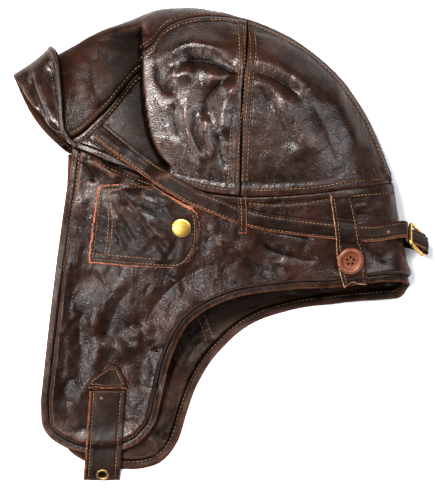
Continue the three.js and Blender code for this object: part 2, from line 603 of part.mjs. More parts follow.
const TAB = {
  bottom: [[98.3, -34.5], [107, -32], [115.6, -32]],
  top: [[87.2, 38.2], [95, 38.6], [103, 39.2]],
  left: [[98.3, -34.5], [94.3, -20], [92.2, -6], [91.7, 3], [89.3, 22.6], [87.2, 38.2]],
  right: [[115.6, -32], [116.2, -14.8], [114.9, -7], [111.5, 3.1], [107.3, 24], [103, 39.2]],
};
const BUTTON = { x: 102.8, y: -12.6, height: 4, recess: 6.2, holes: 5, holeRadius: 0.95, holeRing: 2.8 };

// A turned body and a round tool, both with their axis along Z.
function lathe(profile, segments) {
  const corners = profile.map(([radius, height]) => new THREE.Vector2(radius, height));
  return new THREE.LatheGeometry(corners, segments).rotateX(Math.PI / 2);
}
function drill(x, y, radius, depth, sides) {
  return new THREE.CylinderGeometry(radius, radius, depth, sides).rotateX(Math.PI / 2).translate(x, y, 0);
}

// A turned wooden button with a raised rim and a ring of holes in its recess.
function button() {
  const { height, recess, holes, holeRadius, holeRing } = BUTTON;
  const r = BUTTON_RADIUS;
  const under = [[0, 0], [r - 2.2, 0], [r - 0.5, 1], [r, 2.1]];
  const rim = [[r - 0.8, height - 0.5], [r - 2.3, height], [recess + 0.6, height - 0.5]];
  const dish = [[recess, height - 1.3], [0, height - 1.5]];
  const body = lathe([...under, ...rim, ...dish], 24);
  const tools = [];
  for (let i = 0; i < holes; i += 1) {
    const a = (i / holes) * 2 * Math.PI + Math.PI / 2;
    tools.push(drill(holeRing * Math.cos(a), holeRing * Math.sin(a), holeRadius, 12, 6));
  }
  return cut(body, ...tools);
}

// The domed cap of a press stud.
function snapCap() {
  const r = SNAP_RADIUS;
  const edge = [[0, 0], [r - 0.8, 0], [r, 0.5], [r - 0.3, 1.2]];
  return lathe([...edge, [r - 1.8, 1.9], [r - 4, 2.3], [0, 2.5]], 22);
}

// The buckle at the back, by the middles of its two bars and the way the bars run.
const BAR_RADIUS = 1.4;
const BAR_NEAR = new THREE.Vector3(150.4, 8.4, 39);
const BAR_FAR = new THREE.Vector3(161.2, -1.4, 23);
const ALONG_BAR = new THREE.Vector3(0, 0.853, -0.52).normalize();
const TO_FAR = BAR_FAR.clone().sub(BAR_NEAR).normalize();
const OUT_OF_BUCKLE = TO_FAR.clone().cross(ALONG_BAR).normalize();
const BUCKLE_WIDTH = 18.5;
function atBuckle(from, toFar, out) {
  return from.clone().addScaledVector(TO_FAR, toFar).addScaledVector(OUT_OF_BUCKLE, out);
}

// The head strap lies on the wall, and its last part reaches the buckle.
const STRAP_STEPS = 25;
const NEAR_TAIL = [[-6.5, 0.4], [0, -1.75], [5, -0.2], [10, 2], [14, 3.6], [17, 4.6]];
const FAR_TAIL = [[148, 3.4, 9.5], [156.5, 0, 13]];
const LOOP = BAR_RADIUS + GAP + STRAP_THICK;
const FAR_LOOP = [90, 45, 0, -45, -90, -135, -170].map(THREE.MathUtils.degToRad);
const RIGHT_LIFT = LIFT + 0.2;
function headStrap(side) {
  const lift = side === "left" ? strapLift : () => RIGHT_LIFT;
  const face = bandFace(side, HEAD_STRAP, STRAP_WIDTH, STRAP_THICK, lift, STRAP_STEPS);
  const half = STRAP_WIDTH / 2;
  const rows = span(0, STRAP_STEPS, STRAP_STEPS).map((u) => [-half, 0, half].map((v) => face(u, v)));
  const tail = [];
  if (side === "left") NEAR_TAIL.forEach(([toFar, out]) => tail.push(atBuckle(BAR_NEAR, toFar, out)));
  else {
    for (const place of FAR_TAIL) tail.push(new THREE.Vector3(...place));
    for (const a of FAR_LOOP) tail.push(atBuckle(BAR_FAR, LOOP * Math.sin(a), LOOP * Math.cos(a)));
  }
  tail.forEach((p, i) => {
    const turned = ease(clamp01((i + 1) / 2));
    const way = new THREE.Vector3(0, 1, 0).lerp(ALONG_BAR, turned).normalize();
    rows.push([-half, 0, half].map((v) => p.clone().addScaledVector(way, v)));
  });
  return stripThrough(rows, STRAP_THICK, side === "right");
}

// A round-cornered frame of round brass rod.
function buckleFrame() {
  const along = BAR_FAR.distanceTo(BAR_NEAR) / 2;
  const across = BUCKLE_WIDTH / 2;
  const corner = 2.6;
  const centre = BAR_NEAR.clone().lerp(BAR_FAR, 0.5);
  const rings = [];
  const sides = 8;
  for (let k = 0; k < 4; k += 1)
    for (const turn of [0, 0.5, 1]) {
      const a = ((k + turn) * Math.PI) / 2;
      const sx = k === 0 || k === 3 ? 1 : -1;
      const sy = k < 2 ? 1 : -1;
      const cx = sx * (along - corner) + corner * Math.cos(a);
      const cy = sy * (across - corner) + corner * Math.sin(a);
      const outward = TO_FAR.clone().multiplyScalar(Math.cos(a)).addScaledVector(ALONG_BAR, Math.sin(a));
      const p = centre.clone().addScaledVector(TO_FAR, cx).addScaledVector(ALONG_BAR, cy);
      const ring = [];
      for (let i = 0; i < sides; i += 1) {
        const b = (i / sides) * 2 * Math.PI;
        const place = p.clone().addScaledVector(outward, BAR_RADIUS * Math.cos(b));
        ring.push(place.addScaledVector(OUT_OF_BUCKLE, BAR_RADIUS * Math.sin(b)));
      }
      rings.push(ring);
    }
  const points = rings.flat();
  const triangles = [];
  const count = rings.length;
  for (let j = 0; j < count; j += 1)
    for (let i = 0; i < sides; i += 1) {
      const a = j * sides + i;
      const b = j * sides + ((i + 1) % sides);
      const c = ((j + 1) % count) * sides + i;
      const d = ((j + 1) % count) * sides + ((i + 1) % sides);
      triangles.push(a, c, b, b, c, d);
    }
  const geometry = new THREE.BufferGeometry().setFromPoints(points);
  geometry.setIndex(triangles);
  return geometry;
}
add("buckle_frame", buckleFrame(), BRASS);

const KEEPER = { path: [[18.6, 36.5], [19.1, 22], [19.4, 8.3]], width: 7 };
for (const side of SIDES) {
  const snapPlace = setOn(side, SNAP.x, SNAP.y, LIFT + COVER_THICK + 3 * GAP);
  const buttonPlace = setOn(side, BUTTON.x, BUTTON.y, LIFT + STRAP_THICK + 2 * GAP);
  add(`head_strap_${side}`, headStrap(side), TRIM);
  add(`strap_keeper_${side}`, bandOn(side, KEEPER.path, KEEPER.width, STRAP_THICK, overStrap, 9, 1), TRIM);
  add(`ear_cover_${side}`, patchOn(side, EAR_COVER, COVER_THICK, () => LIFT + 0.15, 10, 8), TRIM);
  add(`cover_snap_${side}`, snapCap(), BRASS, snapPlace);
  add(`goggle_tab_${side}`, patchOn(side, TAB, STRAP_THICK, overStrap, 3, 14), TRIM);
  add(`goggle_button_${side}`, button(), WOOD, buttonPlace);
}

// The narrow brim, turned up over the brow. Its free edge is given by place across and station.
const PEAK_EDGE = [
  { across: 0, s: 0.045 },
  { across: 0.11, s: 0.03 },
  { across: 0.24, s: 0.052 },
  { across: 0.42, s: 0.091 },
  { across: 0.64, s: 0.12 },
  { across: 0.8, s: 0.126 },
  { across: 1, s: 0.122 },
];
const PEAK_THICK = 2.2;
const PEAK_STAND = { left: 4, right: 1 }; // how far its free edge stands off
function peakPoint(across, v) {
  const way = across <= 1 ? across : 2 - across;
  const edge = through(PEAK_EDGE.map((row) => row.across), PEAK_EDGE.map((row) => row.s), way);
  const s = THREE.MathUtils.lerp(0.003, edge, v);
  const d = 1e-3;
  const du = crownPoint(s, across + d).sub(crownPoint(s, across - d));
  const ds = crownPoint(s + d, across).sub(crownPoint(Math.max(s - d, 0), across));
  const out = ds.cross(du).normalize();
  const stand = THREE.MathUtils.lerp(PEAK_STAND.left, PEAK_STAND.right, ease(clamp01(across - 0.5)));
  return crownPoint(s, across).addScaledVector(out, LIFT + stand * v + PEAK_THICK);
}
add("peak", sheet(peakPoint, span(0.03, 1.97, 24), span(0, 1, 4), PEAK_THICK, true), TRIM);

// The chin strap: sewn on the left ear flap under a pointed patch, it hangs over the hem, and its
// end with the eyelet turns down to the ground.
const CHIN = { top: -114.6, turn: -160, end: -184.8, topX: -85.6, endX: -89.9, drop: 8.6, width: 28 };
const CHIN_THICK = 2.2;
const EYELET_Y = -179.6;
function chinPoint(y, v) {
  const t = (y - CHIN.top) / (CHIN.end - CHIN.top);
  const x = THREE.MathUtils.lerp(CHIN.topX, CHIN.endX, t) + v;
  const onWall = skin("left", x, Math.max(y, CHIN.turn), LIFT + CHIN_THICK);
  const past = clamp01((CHIN.turn - y) / (CHIN.turn - CHIN.end));
  return new THREE.Vector3(x, y, onWall.z - CHIN.drop * past ** 3);
}
const chinRows = [...span(CHIN.top, CHIN.turn, 8), ...span(CHIN.turn, CHIN.end, 7).slice(1)];
const chinAcross = span(-CHIN.width / 2, CHIN.width / 2, 3);
const eyeletPlace = (() => {
  const middle = chinPoint(EYELET_Y, 0);
  const down = chinPoint(EYELET_Y - 1, 0).sub(chinPoint(EYELET_Y + 1, 0));
  const out = new THREE.Vector3(1, 0, 0).cross(down).normalize();
  out.multiplyScalar(Math.sign(out.z));
  const turn = new THREE.Quaternion().setFromUnitVectors(new THREE.Vector3(0, 0, 1), out);
  return new THREE.Matrix4().compose(middle, turn, new THREE.Vector3(1, 1, 1));
})();
const BARREL = 3.7;
const chinSheet = sheet((v, y) => chinPoint(y, v), chinAcross, [...chinRows].reverse(), CHIN_THICK);
const punch = drill(0, 0, BARREL + GAP, 14, 16).applyMatrix4(eyeletPlace);
add("chin_strap", cut(chinSheet, punch), TRIM);

const FLANGE = 0.9;
const below = -CHIN_THICK - 0.7;
const eyeletProfile = [
  [EYELET_HOLE, GAP + FLANGE * 0.5],
  [EYELET_HOLE, below - FLANGE],
  [EYELET_RADIUS, below - FLANGE],
  [EYELET_RADIUS, below],
  [BARREL, below],
  [BARREL, GAP],
  [EYELET_RADIUS, GAP],
  [EYELET_RADIUS - 0.6, GAP + FLANGE * 0.8],
  [EYELET_RADIUS - 1.4, GAP + FLANGE],
  [EYELET_HOLE, GAP + FLANGE * 0.5],
];
add("chin_eyelet", lathe(eyeletProfile, 16), BRASS, eyeletPlace);

const ANCHOR = {
  bottom: [[-101.4, -113], [-86, -113.2], [-70.9, -113.2]],
  top: [[-84.5, -96], [-81.6, -94.6], [-78.8, -95]],
  left: [[-101.4, -113], [-101.6, -108.3], [-84.5, -96]],
  right: [[-70.9, -113.2], [-72, -107], [-78.8, -95]],
};
add("chin_anchor", patchOn("left", ANCHOR, CHIN_THICK, () => LIFT, 5, 5), TRIM);

// The frame: X and Y have their zero in the middle of what the whole covers, Z at its lowest point.
const whole = new THREE.Box3().setFromObject(helmet, true);
const middle = whole.getCenter(new THREE.Vector3());
for (const piece of helmet.children) piece.position.sub(new THREE.Vector3(middle.x, middle.y, whole.min.z));

export default helmet;
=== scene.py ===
import functools
import math

import bpy
import numpy as np
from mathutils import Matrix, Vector
from mathutils.bvhtree import BVHTree
from mathutils.kdtree import KDTree


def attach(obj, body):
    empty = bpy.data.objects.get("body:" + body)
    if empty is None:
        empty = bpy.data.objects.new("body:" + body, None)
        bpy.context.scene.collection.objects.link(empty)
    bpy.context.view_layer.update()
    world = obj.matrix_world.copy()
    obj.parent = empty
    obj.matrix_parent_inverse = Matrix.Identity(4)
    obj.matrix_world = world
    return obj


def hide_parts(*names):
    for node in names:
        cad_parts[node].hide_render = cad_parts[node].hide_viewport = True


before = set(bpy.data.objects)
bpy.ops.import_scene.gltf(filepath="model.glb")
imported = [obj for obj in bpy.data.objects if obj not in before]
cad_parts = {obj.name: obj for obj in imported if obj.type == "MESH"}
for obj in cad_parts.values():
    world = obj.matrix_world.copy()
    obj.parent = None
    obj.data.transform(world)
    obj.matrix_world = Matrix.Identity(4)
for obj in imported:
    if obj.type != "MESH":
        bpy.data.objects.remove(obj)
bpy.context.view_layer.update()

# The helmet lies on its right side. Lengths are millimetres until a mesh is made. X runs from brow to
# nape, Y from the ear flaps to the top of the crown, Z is up. "left" lies on top, "right" underneath.
METRE = 0.001
FRAME_SHIFT = np.array([-3.1169, 0.6042, 0.0])

# Walls: thickness, gap between the two flaps at the nape, and how far in from the ridge they are rounded.
WALL = 2.0
GAP = 0.3
ROUND_LEFT = 52.0
ROUND_RIGHT = 40.0

# How far the front edge of a side and the crown's front rim bow out.
FRONT_EDGE_BOW = 1.2
RIM_BOW_LEFT = 2.5
RIM_BOW_RIGHT = 6.0

# Stations along the ridge, from 0 at the brow to 1 at the nape: the seam across the crown, half the gap
# there, how far from it its stitch rows are, and where the crown ends.
CORONAL = 0.5
HALF_GAP = 0.00075
BESIDE_CORONAL = 0.0125
CROWN_END = 0.984

STRAP_WIDTH = 12.8
SNAP = (-27.9, 12.7)
BUTTON = (102.8, -12.6)

# Stitches: pitch on the walls and on the trim, thread, how far from seams and edges the rows lie, and the
# spacing of the points that carry them.
STITCH_PITCH = 3.3
TRIM_PITCH = 3.0
THREAD_RADIUS = 0.36
SEAM_ROW = 4.4
HEM_ROW = 5.9
INNER_ROW = 5.2
ROW_SPACING = 1.2

# How far the inner face of the lower wall is above its outer face, and the least height of any leather.
INNER_FACE = WALL + 0.6
ABOVE_FLOOR = 0.12
UP = {"left": 1, "right": -1}

# The materials of a sheet, in this order: outer face, inner face, plain edge and shown cut edge.
FACE, BACK, EDGE, CUT = range(4)

# One row for each rib, from brow to nape: station, seam x and y, ridge x, y and z, hem x and y, how far
# the rib bows forward, how far the right side's hem lies from the left one's, and where the middle
# band's seams cross the rib.
RIBS = np.array([
    [0.00, -112.6, 76, -158, 127.5, 26, -138.4, -124, 0, 18, -16, 0.06, 1.95],
    [0.07, -98.5, 70.5, -139, 137, 29, -136.5, -143.5, 0, 18, -14, 0.14, 1.86],
    [0.14, -84, 64, -119, 150, 32, -126, -155, 0, 17, -12, 0.23, 1.74],
    [0.21, -68, 58, -93, 164.3, 35, -107, -163, 0, 15, -11, 0.33, 1.62],
    [0.27, -54, 52, -65, 175.3, 37, -84, -164, 0, 15, -12, 0.47, 1.53],
    [0.30, -46, 50, -54, 179.6, 38, -73, -161, 0, 16, -14, 0.57, 1.5],
    [0.35, -31, 45, -40, 183, 39, -61, -155, 9, 17, -15, 0.7, 1.46],
    [0.42, -7, 40, -13, 183, 41, -49, -140, 17, 17, -15, 0.8, 1.42],
    [0.50, 18, 37, 20, 176, 42, -43, -116, 26, 19, -14, 0.87, 1.39],
    [0.57, 39, 37, 45, 166, 42, -36, -89, 28, 20, -20, 0.88, 1.38],
    [0.64, 60, 38, 69, 152, 42, -21, -61, 24, 20, -25, 0.88, 1.38],
    [0.72, 81, 40, 92, 132, 42, 11, -43, 12, 14, -20, 0.87, 1.38],
    [0.80, 100, 43, 110, 108, 42, 53, -36, 0, 6, -15, 0.85, 1.38],
    [0.88, 117, 45, 123, 83, 41, 92, -34, 0, 2, -12, 0.8, 1.38],
    [0.95, 129.5, 47, 132, 60, 40, 130, -29.5, 0, 0, -13, 0.7, 1.36],
    [0.98, 133.8, 47.4, 134.5, 52.6, 39.4, 143.5, -29.6, 0, 0, -11, 0.64, 1.35],
    [1.00, 136.4, 47.6, 136.4, 47.6, 39, 151.2, -31.6, 0, 0, 0, 0.6, 1.34],
])
COLUMNS = "s seamX seamY ridgeX ridgeY ridgeZ hemX hemY bow rightX rightY bandLeft bandRight".split()
NAPE_FOOT_Z = 30.0

# How far the far side's front rim lies from the near one's, and up to which station.
FAR_RIM = dict(x=-4.0, y=-5.0, fade=0.12)

# Height of the upper wall: one row for each y, one column for each x.
HEIGHT_X = np.array([-150, -90, -40, 20, 80, 140.0])
HEIGHT_Y = np.array([-185, -130, -90, -40, 0, 40, 80, 130, 190.0])
HEIGHTS = np.array([
    [8, 8, 9, 12, 16, 18],
    [10, 11, 13, 18, 24, 28],
    [18, 22, 24, 30, 36, 38],
    [33, 42, 47, 50, 52, 48],
    [43, 56, 64, 66, 65, 56],
    [46, 63, 74, 77, 74, 62],
    [44, 64, 80, 82, 79, 66],
    [40, 60, 80, 83, 80, 68],
    [40, 56, 72, 79, 76, 66.0],
])

# Creases of the upper wall: name, width, height (a valley is negative) and path.
FOLDS = [
    ("crown_ridge", 7.5, 5.2, [(-44, 136), (-36, 149), (-26, 155), (-14, 156), (-2, 153), (18, 147)]),
    ("crown_valley", 7.0, -5.5, [(-30, 140), (-18, 142), (-4, 140), (10, 134), (19, 130)]),
    ("crown_ridge_2", 6.9, 2.6, [(-14, 130), (0, 128), (10, 122), (17, 116)]),
    ("crown_pinch", 5.9, -4.3, [(-49, 143), (-46, 128), (-40, 119), (-30, 117)]),
    ("crown_bump", 6.0, 2.8, [(-40, 133), (-34, 130), (-26, 132), (-16, 134)]),
    ("crown_diagonal", 8.2, -4.9, [(14, 133), (2, 124), (-8, 112), (-13, 94)]),
    ("crown_diagonal_swell", 7.0, 2.8, [(16, 124), (8, 112), (4, 96), (6, 80)]),
    ("front_wrinkle_1", 4.1, -2.3, [(-32, 112), (-34, 96), (-28, 78)]),
    ("front_wrinkle_2", 4.2, 2.3, [(-24, 112), (-25, 94), (-18, 74), (-8, 60)]),
    ("front_wrinkle_3", 3.9, -2.2, [(-16, 106), (-18, 88), (-10, 68)]),
    ("front_wrinkle_4", 3.7, 2.0, [(-8, 100), (-9, 84), (0, 64)]),
    ("front_wrinkle_5", 3.7, -1.9, [(0, 88), (2, 70), (9, 56)]),
    ("rear_ridge", 8.8, 3.7, [(24, 147), (34, 145), (46, 140), (58, 134), (72, 127)]),
    ("rear_valley", 8.9, -3.4, [(22, 134), (34, 132), (46, 127), (57, 120), (66, 110)]),
    ("rear_bump", 7.5, 2.3, [(56, 128), (68, 126), (76, 118)]),
    ("rear_ridge_2", 7.5, 1.6, [(26, 130), (38, 125), (50, 116), (58, 104)]),
    ("rear_dent", 12.3, -2.2, [(30, 126), (42, 106), (54, 86), (64, 70)]),
    ("rear_swell_1", 11.2, 1.7, [(44, 118), (56, 98), (68, 80), (74, 66)]),
    ("rear_dent_2", 11.0, -1.6, [(70, 114), (80, 98), (88, 80), (94, 64)]),
    ("rear_swell_2", 8.1, 2.5, [(88, 122), (98, 104), (106, 86), (110, 70)]),
    ("rear_dent_3", 8.2, -1.6, [(104, 108), (112, 92), (118, 74)]),
    ("brow_swell", 10.5, 1.9, [(-103, 150), (-108, 138), (-108, 122), (-102, 106)]),
    ("brow_dent", 13.2, -1.9, [(-90, 156), (-95, 140), (-96, 124), (-88, 108)]),
    ("brow_swell_2", 13.5, 1.1, [(-76, 160), (-80, 144), (-80, 128), (-70, 118)]),
    ("brow_wrinkle", 4.4, -1.9, [(-98, 104), (-88, 112), (-76, 122), (-66, 134)]),
    ("brow_pinch", 3.7, -1.9, [(-78, 112), (-71, 121), (-66, 118)]),
    ("temple_swell", 4.0, 1.6, [(-96, 88), (-84, 78), (-70, 70)]),
    ("ear_swell", 5.0, 4.0, [(-100, 68), (-92, 61), (-82, 54), (-72, 50)]),
    ("ear_dent", 4.0, -3.2, [(-107, 66), (-100, 56), (-95, 47)]),
    ("flap_front_swell", 6.9, 1.2, [(-108, 40), (-108, 10), (-110, -30)]),
    ("flap_edge_swell", 8.0, 1.4, [(10, -22), (-14, -36), (-34, -60), (-46, -88), (-50, -112)]),
    ("flap_edge_dent", 8.8, -0.9, [(2, -14), (-26, -26), (-50, -50), (-62, -84)]),
    ("flap_swell_1", 8.0, 0.8, [(-40, -24), (-58, -42), (-70, -66)]),
    ("flap_dent_1", 7.6, -1.1, [(-60, -26), (-78, -48), (-88, -78)]),
    ("flap_swell_2", 5.8, 1.6, [(-92, -48), (-96, -66), (-94, -84), (-100, -100)]),
    ("flap_dent_2", 7.6, -1.1, [(-104, -44), (-108, -70), (-104, -98)]),
    ("flap_swell_3", 5.8, 1.1, [(-114, -66), (-115, -90), (-116, -112)]),
    ("flap_knuckle_1", 5.8, 1.7, [(-92, -82), (-84, -78), (-76, -82), (-74, -94)]),
    ("flap_knuckle_2", 5.1, 1.5, [(-66, -66), (-62, -76), (-66, -86)]),
    ("flap_knuckle_3", 4.8, 1.3, [(-52, -60), (-54, -70), (-50, -78)]),
    ("flap_crease_1", 3.3, -1.1, [(-72, -66), (-66, -62), (-58, -66)]),
    ("flap_crease_2", 2.8, -1.0, [(-34, -74), (-42, -80), (-54, -84)]),
    ("flap_crease_3", 3.1, -1.0, [(-44, -110), (-52, -112), (-66, -106)]),
    ("flap_crease_4", 3.1, -0.8, [(-60, -22), (-44, -24), (-26, -30)]),
    ("flap_low_swell", 9.2, 1.1, [(-56, -112), (-58, -126), (-62, -140)]),
    ("flap_low_swell_2", 8.0, 1.0, [(-118, -120), (-112, -134), (-106, -146)]),
    ("nape_dent_1", 6.6, -2.4, [(30, 4), (46, -6), (66, -12), (84, -14)]),
    ("nape_swell_1", 6.0, 1.6, [(24, -6), (42, -16), (62, -20)]),
    ("nape_swell_2", 6.0, 2.2, [(-8, 4), (10, -2), (30, -4)]),
    ("nape_wrinkle", 4.8, -1.9, [(112, 2), (120, -8), (132, -14)]),
    ("nape_wrinkle_2", 4.4, -1.9, [(24, 14), (50, 8), (78, 2)]),
]

# The same for the inner face of the far flap.
FAR_FOLDS = [
    ("by_cross_seam", 2.6, -2.2, [(-8.2, -57.7), (-4.3, -65.5), (-1.2, -74.9)]),
    ("by_cross_seam_2", 2.6, 1.6, [(-14, -61), (-10, -69), (-7, -79)]),
    ("low_1", 2.6, -2.0, [(-60.5, -155), (-54.2, -161), (-48, -166)]),
    ("low_2", 2.4, 1.7, [(-55, -152), (-49, -157), (-42, -162)]),
    ("low_3", 2.6, -2.0, [(-50, -148), (-44, -153), (-38, -157)]),
    ("long_1", 3.0, -2.0, [(-30.8, -112), (-32.4, -130), (-37, -146)]),
    ("long_2", 3.0, -2.2, [(-26, -94), (-17, -81), (-9, -73)]),
    ("long_3", 3.4, 1.6, [(-38, -108), (-28, -92), (-20, -80)]),
    ("upper_1", 3.0, -1.8, [(14, -52), (22, -50), (32, -48)]),
    ("upper_2", 3.0, -1.8, [(40, -42), (54, -40), (66, -40)]),
]

# Where the middle band sinks beside the front panel.
TUCK_PATH = [(-59, 176), (-57.5, 159), (-57.5, 143), (-56.5, 120), (-54, 100), (-50, 82), (-43, 68),
             (-34, 57)]
TUCK = dict(depth=18.0, width=3.0, reach=40.0, lean=7.5, fade=(0.02, 0.14, 0.86, 1.0))

# What the lower wall is raised by: half width, reach, height and path.
PROPS = [
    (9, 18, 3.7, [(-92, 92), (-70, 76), (-40, 53), (0, 33), (20, 27), (60, 17), (92, 9), (150, 8)]),
    (13, 30, 6.6, [(97, 24), (101, -2)]),
    (7, 16, 5.6, [(20, 40), (20, 6)]),
    (13, 18, 3.5, [(95, 40), (107, -34)]),
    (13, 26, 7.9, [(103, -12), (103, -14)]),
    (42, 18, 3.4, [(-64, 14), (-46, 14)]),
    (12, 34, 7.1, [(-29, 12), (-28, 12)]),
    (24, 30, 4.6, [(-150, 124), (-130, 106), (-112, 84)]),
]


# Curves and fields

def through(stations, values, at):
    """A smooth curve through values at rising stations; values may have a row for each station."""
    stations = np.asarray(stations, float)
    values = np.asarray(values, float)
    last = len(stations) - 1
    low = np.maximum(np.arange(last + 1) - 1, 0)
    high = np.minimum(np.arange(last + 1) + 1, last)
    gap = (stations[high] - stations[low]).reshape(-1, *([1] * (values.ndim - 1)))
    slopes = (values[high] - values[low]) / gap
    x = np.clip(at, stations[0], stations[-1])
    i = np.clip(np.searchsorted(stations, x, side="right") - 1, 0, last - 1)
    span = stations[i + 1] - stations[i]
    t = (x - stations[i]) / span
    if values.ndim == 1:
        a, b, ma, mb = values[i], values[i + 1], slopes[i] * span, slopes[i + 1] * span
    else:
        k = np.arange(len(x))
        a, b = values[i, k], values[i + 1, k]
        ma, mb = slopes[i, k] * span, slopes[i + 1, k] * span
    return a + t * (ma + t * (3 * (b - a) - 2 * ma - mb + t * (2 * (a - b) + ma + mb)))


def rib(column, s):
    """A column of the ribs' table at any station."""
    return through(RIBS[:, 0], RIBS[:, COLUMNS.index(column)], s)


def ease(t):
    """Smoothly from 0 to 1."""
    t = np.clip(t, 0, 1)
    return t * t * (3 - 2 * t)


def dome(u):
    """A quarter circle's height, from 0 at the rim to 1."""
    return np.sqrt(np.maximum(0, 1 - (1 - np.clip(u, 0, 1)) ** 2))


def bell(d, width, middle=0.0):
    """A smooth bump of height 1 round the middle."""
    return np.exp(-((d - middle) / width) ** 2)


def up_to(d, end, fade):
    """1 up to the end, and 0 once the fade is passed."""
    return 1 - ease((d - end) / fade)


def fading(d, start, width):
    """1 up to the start, and fading away beyond it."""
    return bell(np.maximum(0, d - start), width)


def unit(vectors):
    """The vectors at length 1."""
    return vectors / np.maximum(np.linalg.norm(vectors, axis=-1, keepdims=True), 1e-9)


def lengths(line):
    """How far along a polyline each of its points is."""
    return np.concatenate([[0], np.cumsum(np.linalg.norm(np.diff(line, axis=0), axis=1))])


def read_at(steps, values, at):
    """Rows of values that belong to rising lengths, read at other lengths."""
    return np.stack([np.interp(at, steps, values[:, k]) for k in range(values.shape[1])], 1)


def smooth_path(points, steps):
    """A centripetal Catmull-Rom curve through the points."""
    p = np.asarray(points, float)
    p = np.vstack([2 * p[0] - p[1], p, 2 * p[-1] - p[-2]])
    out = []
    for u in np.linspace(0, len(p) - 3, steps + 1):
        i = min(int(u), len(p) - 4)
        t = u - i
        p0, p1, p2, p3 = p[i:i + 4]
        d0 = math.sqrt(max(np.linalg.norm(p1 - p0), 1e-4))
        d1 = math.sqrt(max(np.linalg.norm(p2 - p1), 1e-4))
        d2 = math.sqrt(max(np.linalg.norm(p3 - p2), 1e-4))
        m1 = ((p1 - p0) / d0 - (p2 - p0) / (d0 + d1) + (p2 - p1) / d1) * d1
        m2 = ((p2 - p1) / d1 - (p3 - p1) / (d1 + d2) + (p3 - p2) / d2) * d1
        out.append(p1 + t * (m1 + t * (3 * (p2 - p1) - 2 * m1 - m2 + t * (2 * (p1 - p2) + m1 + m2))))
    return np.array(out)


def nearest(line, x, y):
    """How far each place is from a polyline, how far along it the nearest point is, and on which side."""
    shape = x.shape
    best = np.full(shape, np.inf)
    along = np.zeros(shape)
    side = np.ones(shape)
    for i in range(len(line) - 1):
        ax, ay = line[i][:2]
        dx, dy = line[i + 1][0] - ax, line[i + 1][1] - ay
        t = np.clip(((x - ax) * dx + (y - ay) * dy) / (dx * dx + dy * dy), 0, 1)
        ox, oy = x - ax - t * dx, y - ay - t * dy
        away = np.hypot(ox, oy)
        closer = away < best
        best = np.where(closer, away, best)
        along = np.where(closer, i + t, along)
        side = np.where(closer, np.where(dx * oy - dy * ox < 0, -1.0, 1.0), side)
    return best, along, side


# The ridge as a polyline, moved outward a little, with a last part down to the flaps' lower corner.
RIDGE_STEPS = np.linspace(0, 1, 97)
FOOT_STEPS = 6
OUTWARD = 0.7
RIDGE = np.stack([rib(c, RIDGE_STEPS) for c in ("ridgeX", "ridgeY", "ridgeZ")], 1)
foot = np.array([RIBS[-1, 6], RIBS[-1, 7], NAPE_FOOT_Z])
ridge_way = np.gradient(RIDGE[:, :2], axis=0)[:-3]
ridge_side = np.stack([-ridge_way[:, 1], ridge_way[:, 0]], 1)
RIDGE[:-3, :2] += OUTWARD * ridge_side / np.hypot(ridge_way[:, 0], ridge_way[:, 1])[:, None]
down_to_foot = [RIDGE[-1] + (foot - RIDGE[-1]) * k / FOOT_STEPS for k in range(1, FOOT_STEPS + 1)]
RIDGE = np.vstack([RIDGE, down_to_foot])


def ridge_at(s):
    """The ridge over a station, exactly on the line that distances are taken from."""
    return [np.interp(s, RIDGE_STEPS, RIDGE[:len(RIDGE_STEPS), k]) for k in (0, 1)]


def to_ridge(x, y):
    """How far each place is from the ridge, and how high the ridge is there."""
    away, along, _ = nearest(RIDGE, x, y)
    i = np.clip(along.astype(int), 0, len(RIDGE) - 2)
    t = along - i
    return away, RIDGE[i, 2] * (1 - t) + RIDGE[i + 1, 2] * t


def plateau(x, y):
    """Height of the upper wall away from the ridge."""
    rows = np.stack([through(HEIGHT_X, row, x) for row in HEIGHTS])
    return through(HEIGHT_Y, rows, y)


FOLD_LINES = [(width, height, smooth_path(path, 16)) for _, width, height, path in FOLDS]
FAR_LINES = [(width, height, smooth_path(path, 16)) for _, width, height, path in FAR_FOLDS]


def folds(x, y, lines=FOLD_LINES):
    """How far creases raise or sink each place."""
    total = np.zeros(x.shape)
    for width, height, line in lines:
        reach = 3 * width
        low, high = line.min(0) - reach, line.max(0) + reach
        inside = (x > low[0]) & (x < high[0]) & (y > low[1]) & (y < high[1])
        if not inside.any():
            continue
        away, along, _ = nearest(line, x[inside], y[inside])
        part = along / (len(line) - 1)
        ends = ease(part / 0.25) * ease((1 - part) / 0.25)
        across = np.exp(-1.4 * away / width) if height < 0 else bell(away, width)
        total[inside] += height * ends * across
    return total


TUCK_LINE = smooth_path(TUCK_PATH, 32)


def tuck(x, y):
    """How far the band sinks in front of the front panel, and how far the step leans over it."""
    away, along, side = nearest(TUCK_LINE, x, y)
    d = away * side
    part = along / (len(TUCK_LINE) - 1)
    a, b, c, e = TUCK["fade"]
    strength = ease((part - a) / (b - a)) * ease((e - part) / (e - c))
    over = ease((d / TUCK["width"] + 1) / 2)
    drop = -TUCK["depth"] * strength * (1 - over) * fading(-d, 0, TUCK["reach"])
    u = d / (TUCK["width"] * 1.3)
    lean = -TUCK["lean"] * strength * u * np.exp(1 - u * u) * 0.6
    return drop, lean


def left_height(x, y, creased=True):
    """Height of the upper wall's outer face."""
    away, z = to_ridge(x, y)
    crease = folds(x, y) + tuck(x, y)[0] if creased else 0.0
    return z + (plateau(x, y) + crease - z) * dome(away / ROUND_LEFT)


PROP_LINES = [(half, reach, height, smooth_path(path, 12)) for half, reach, height, path in PROPS]


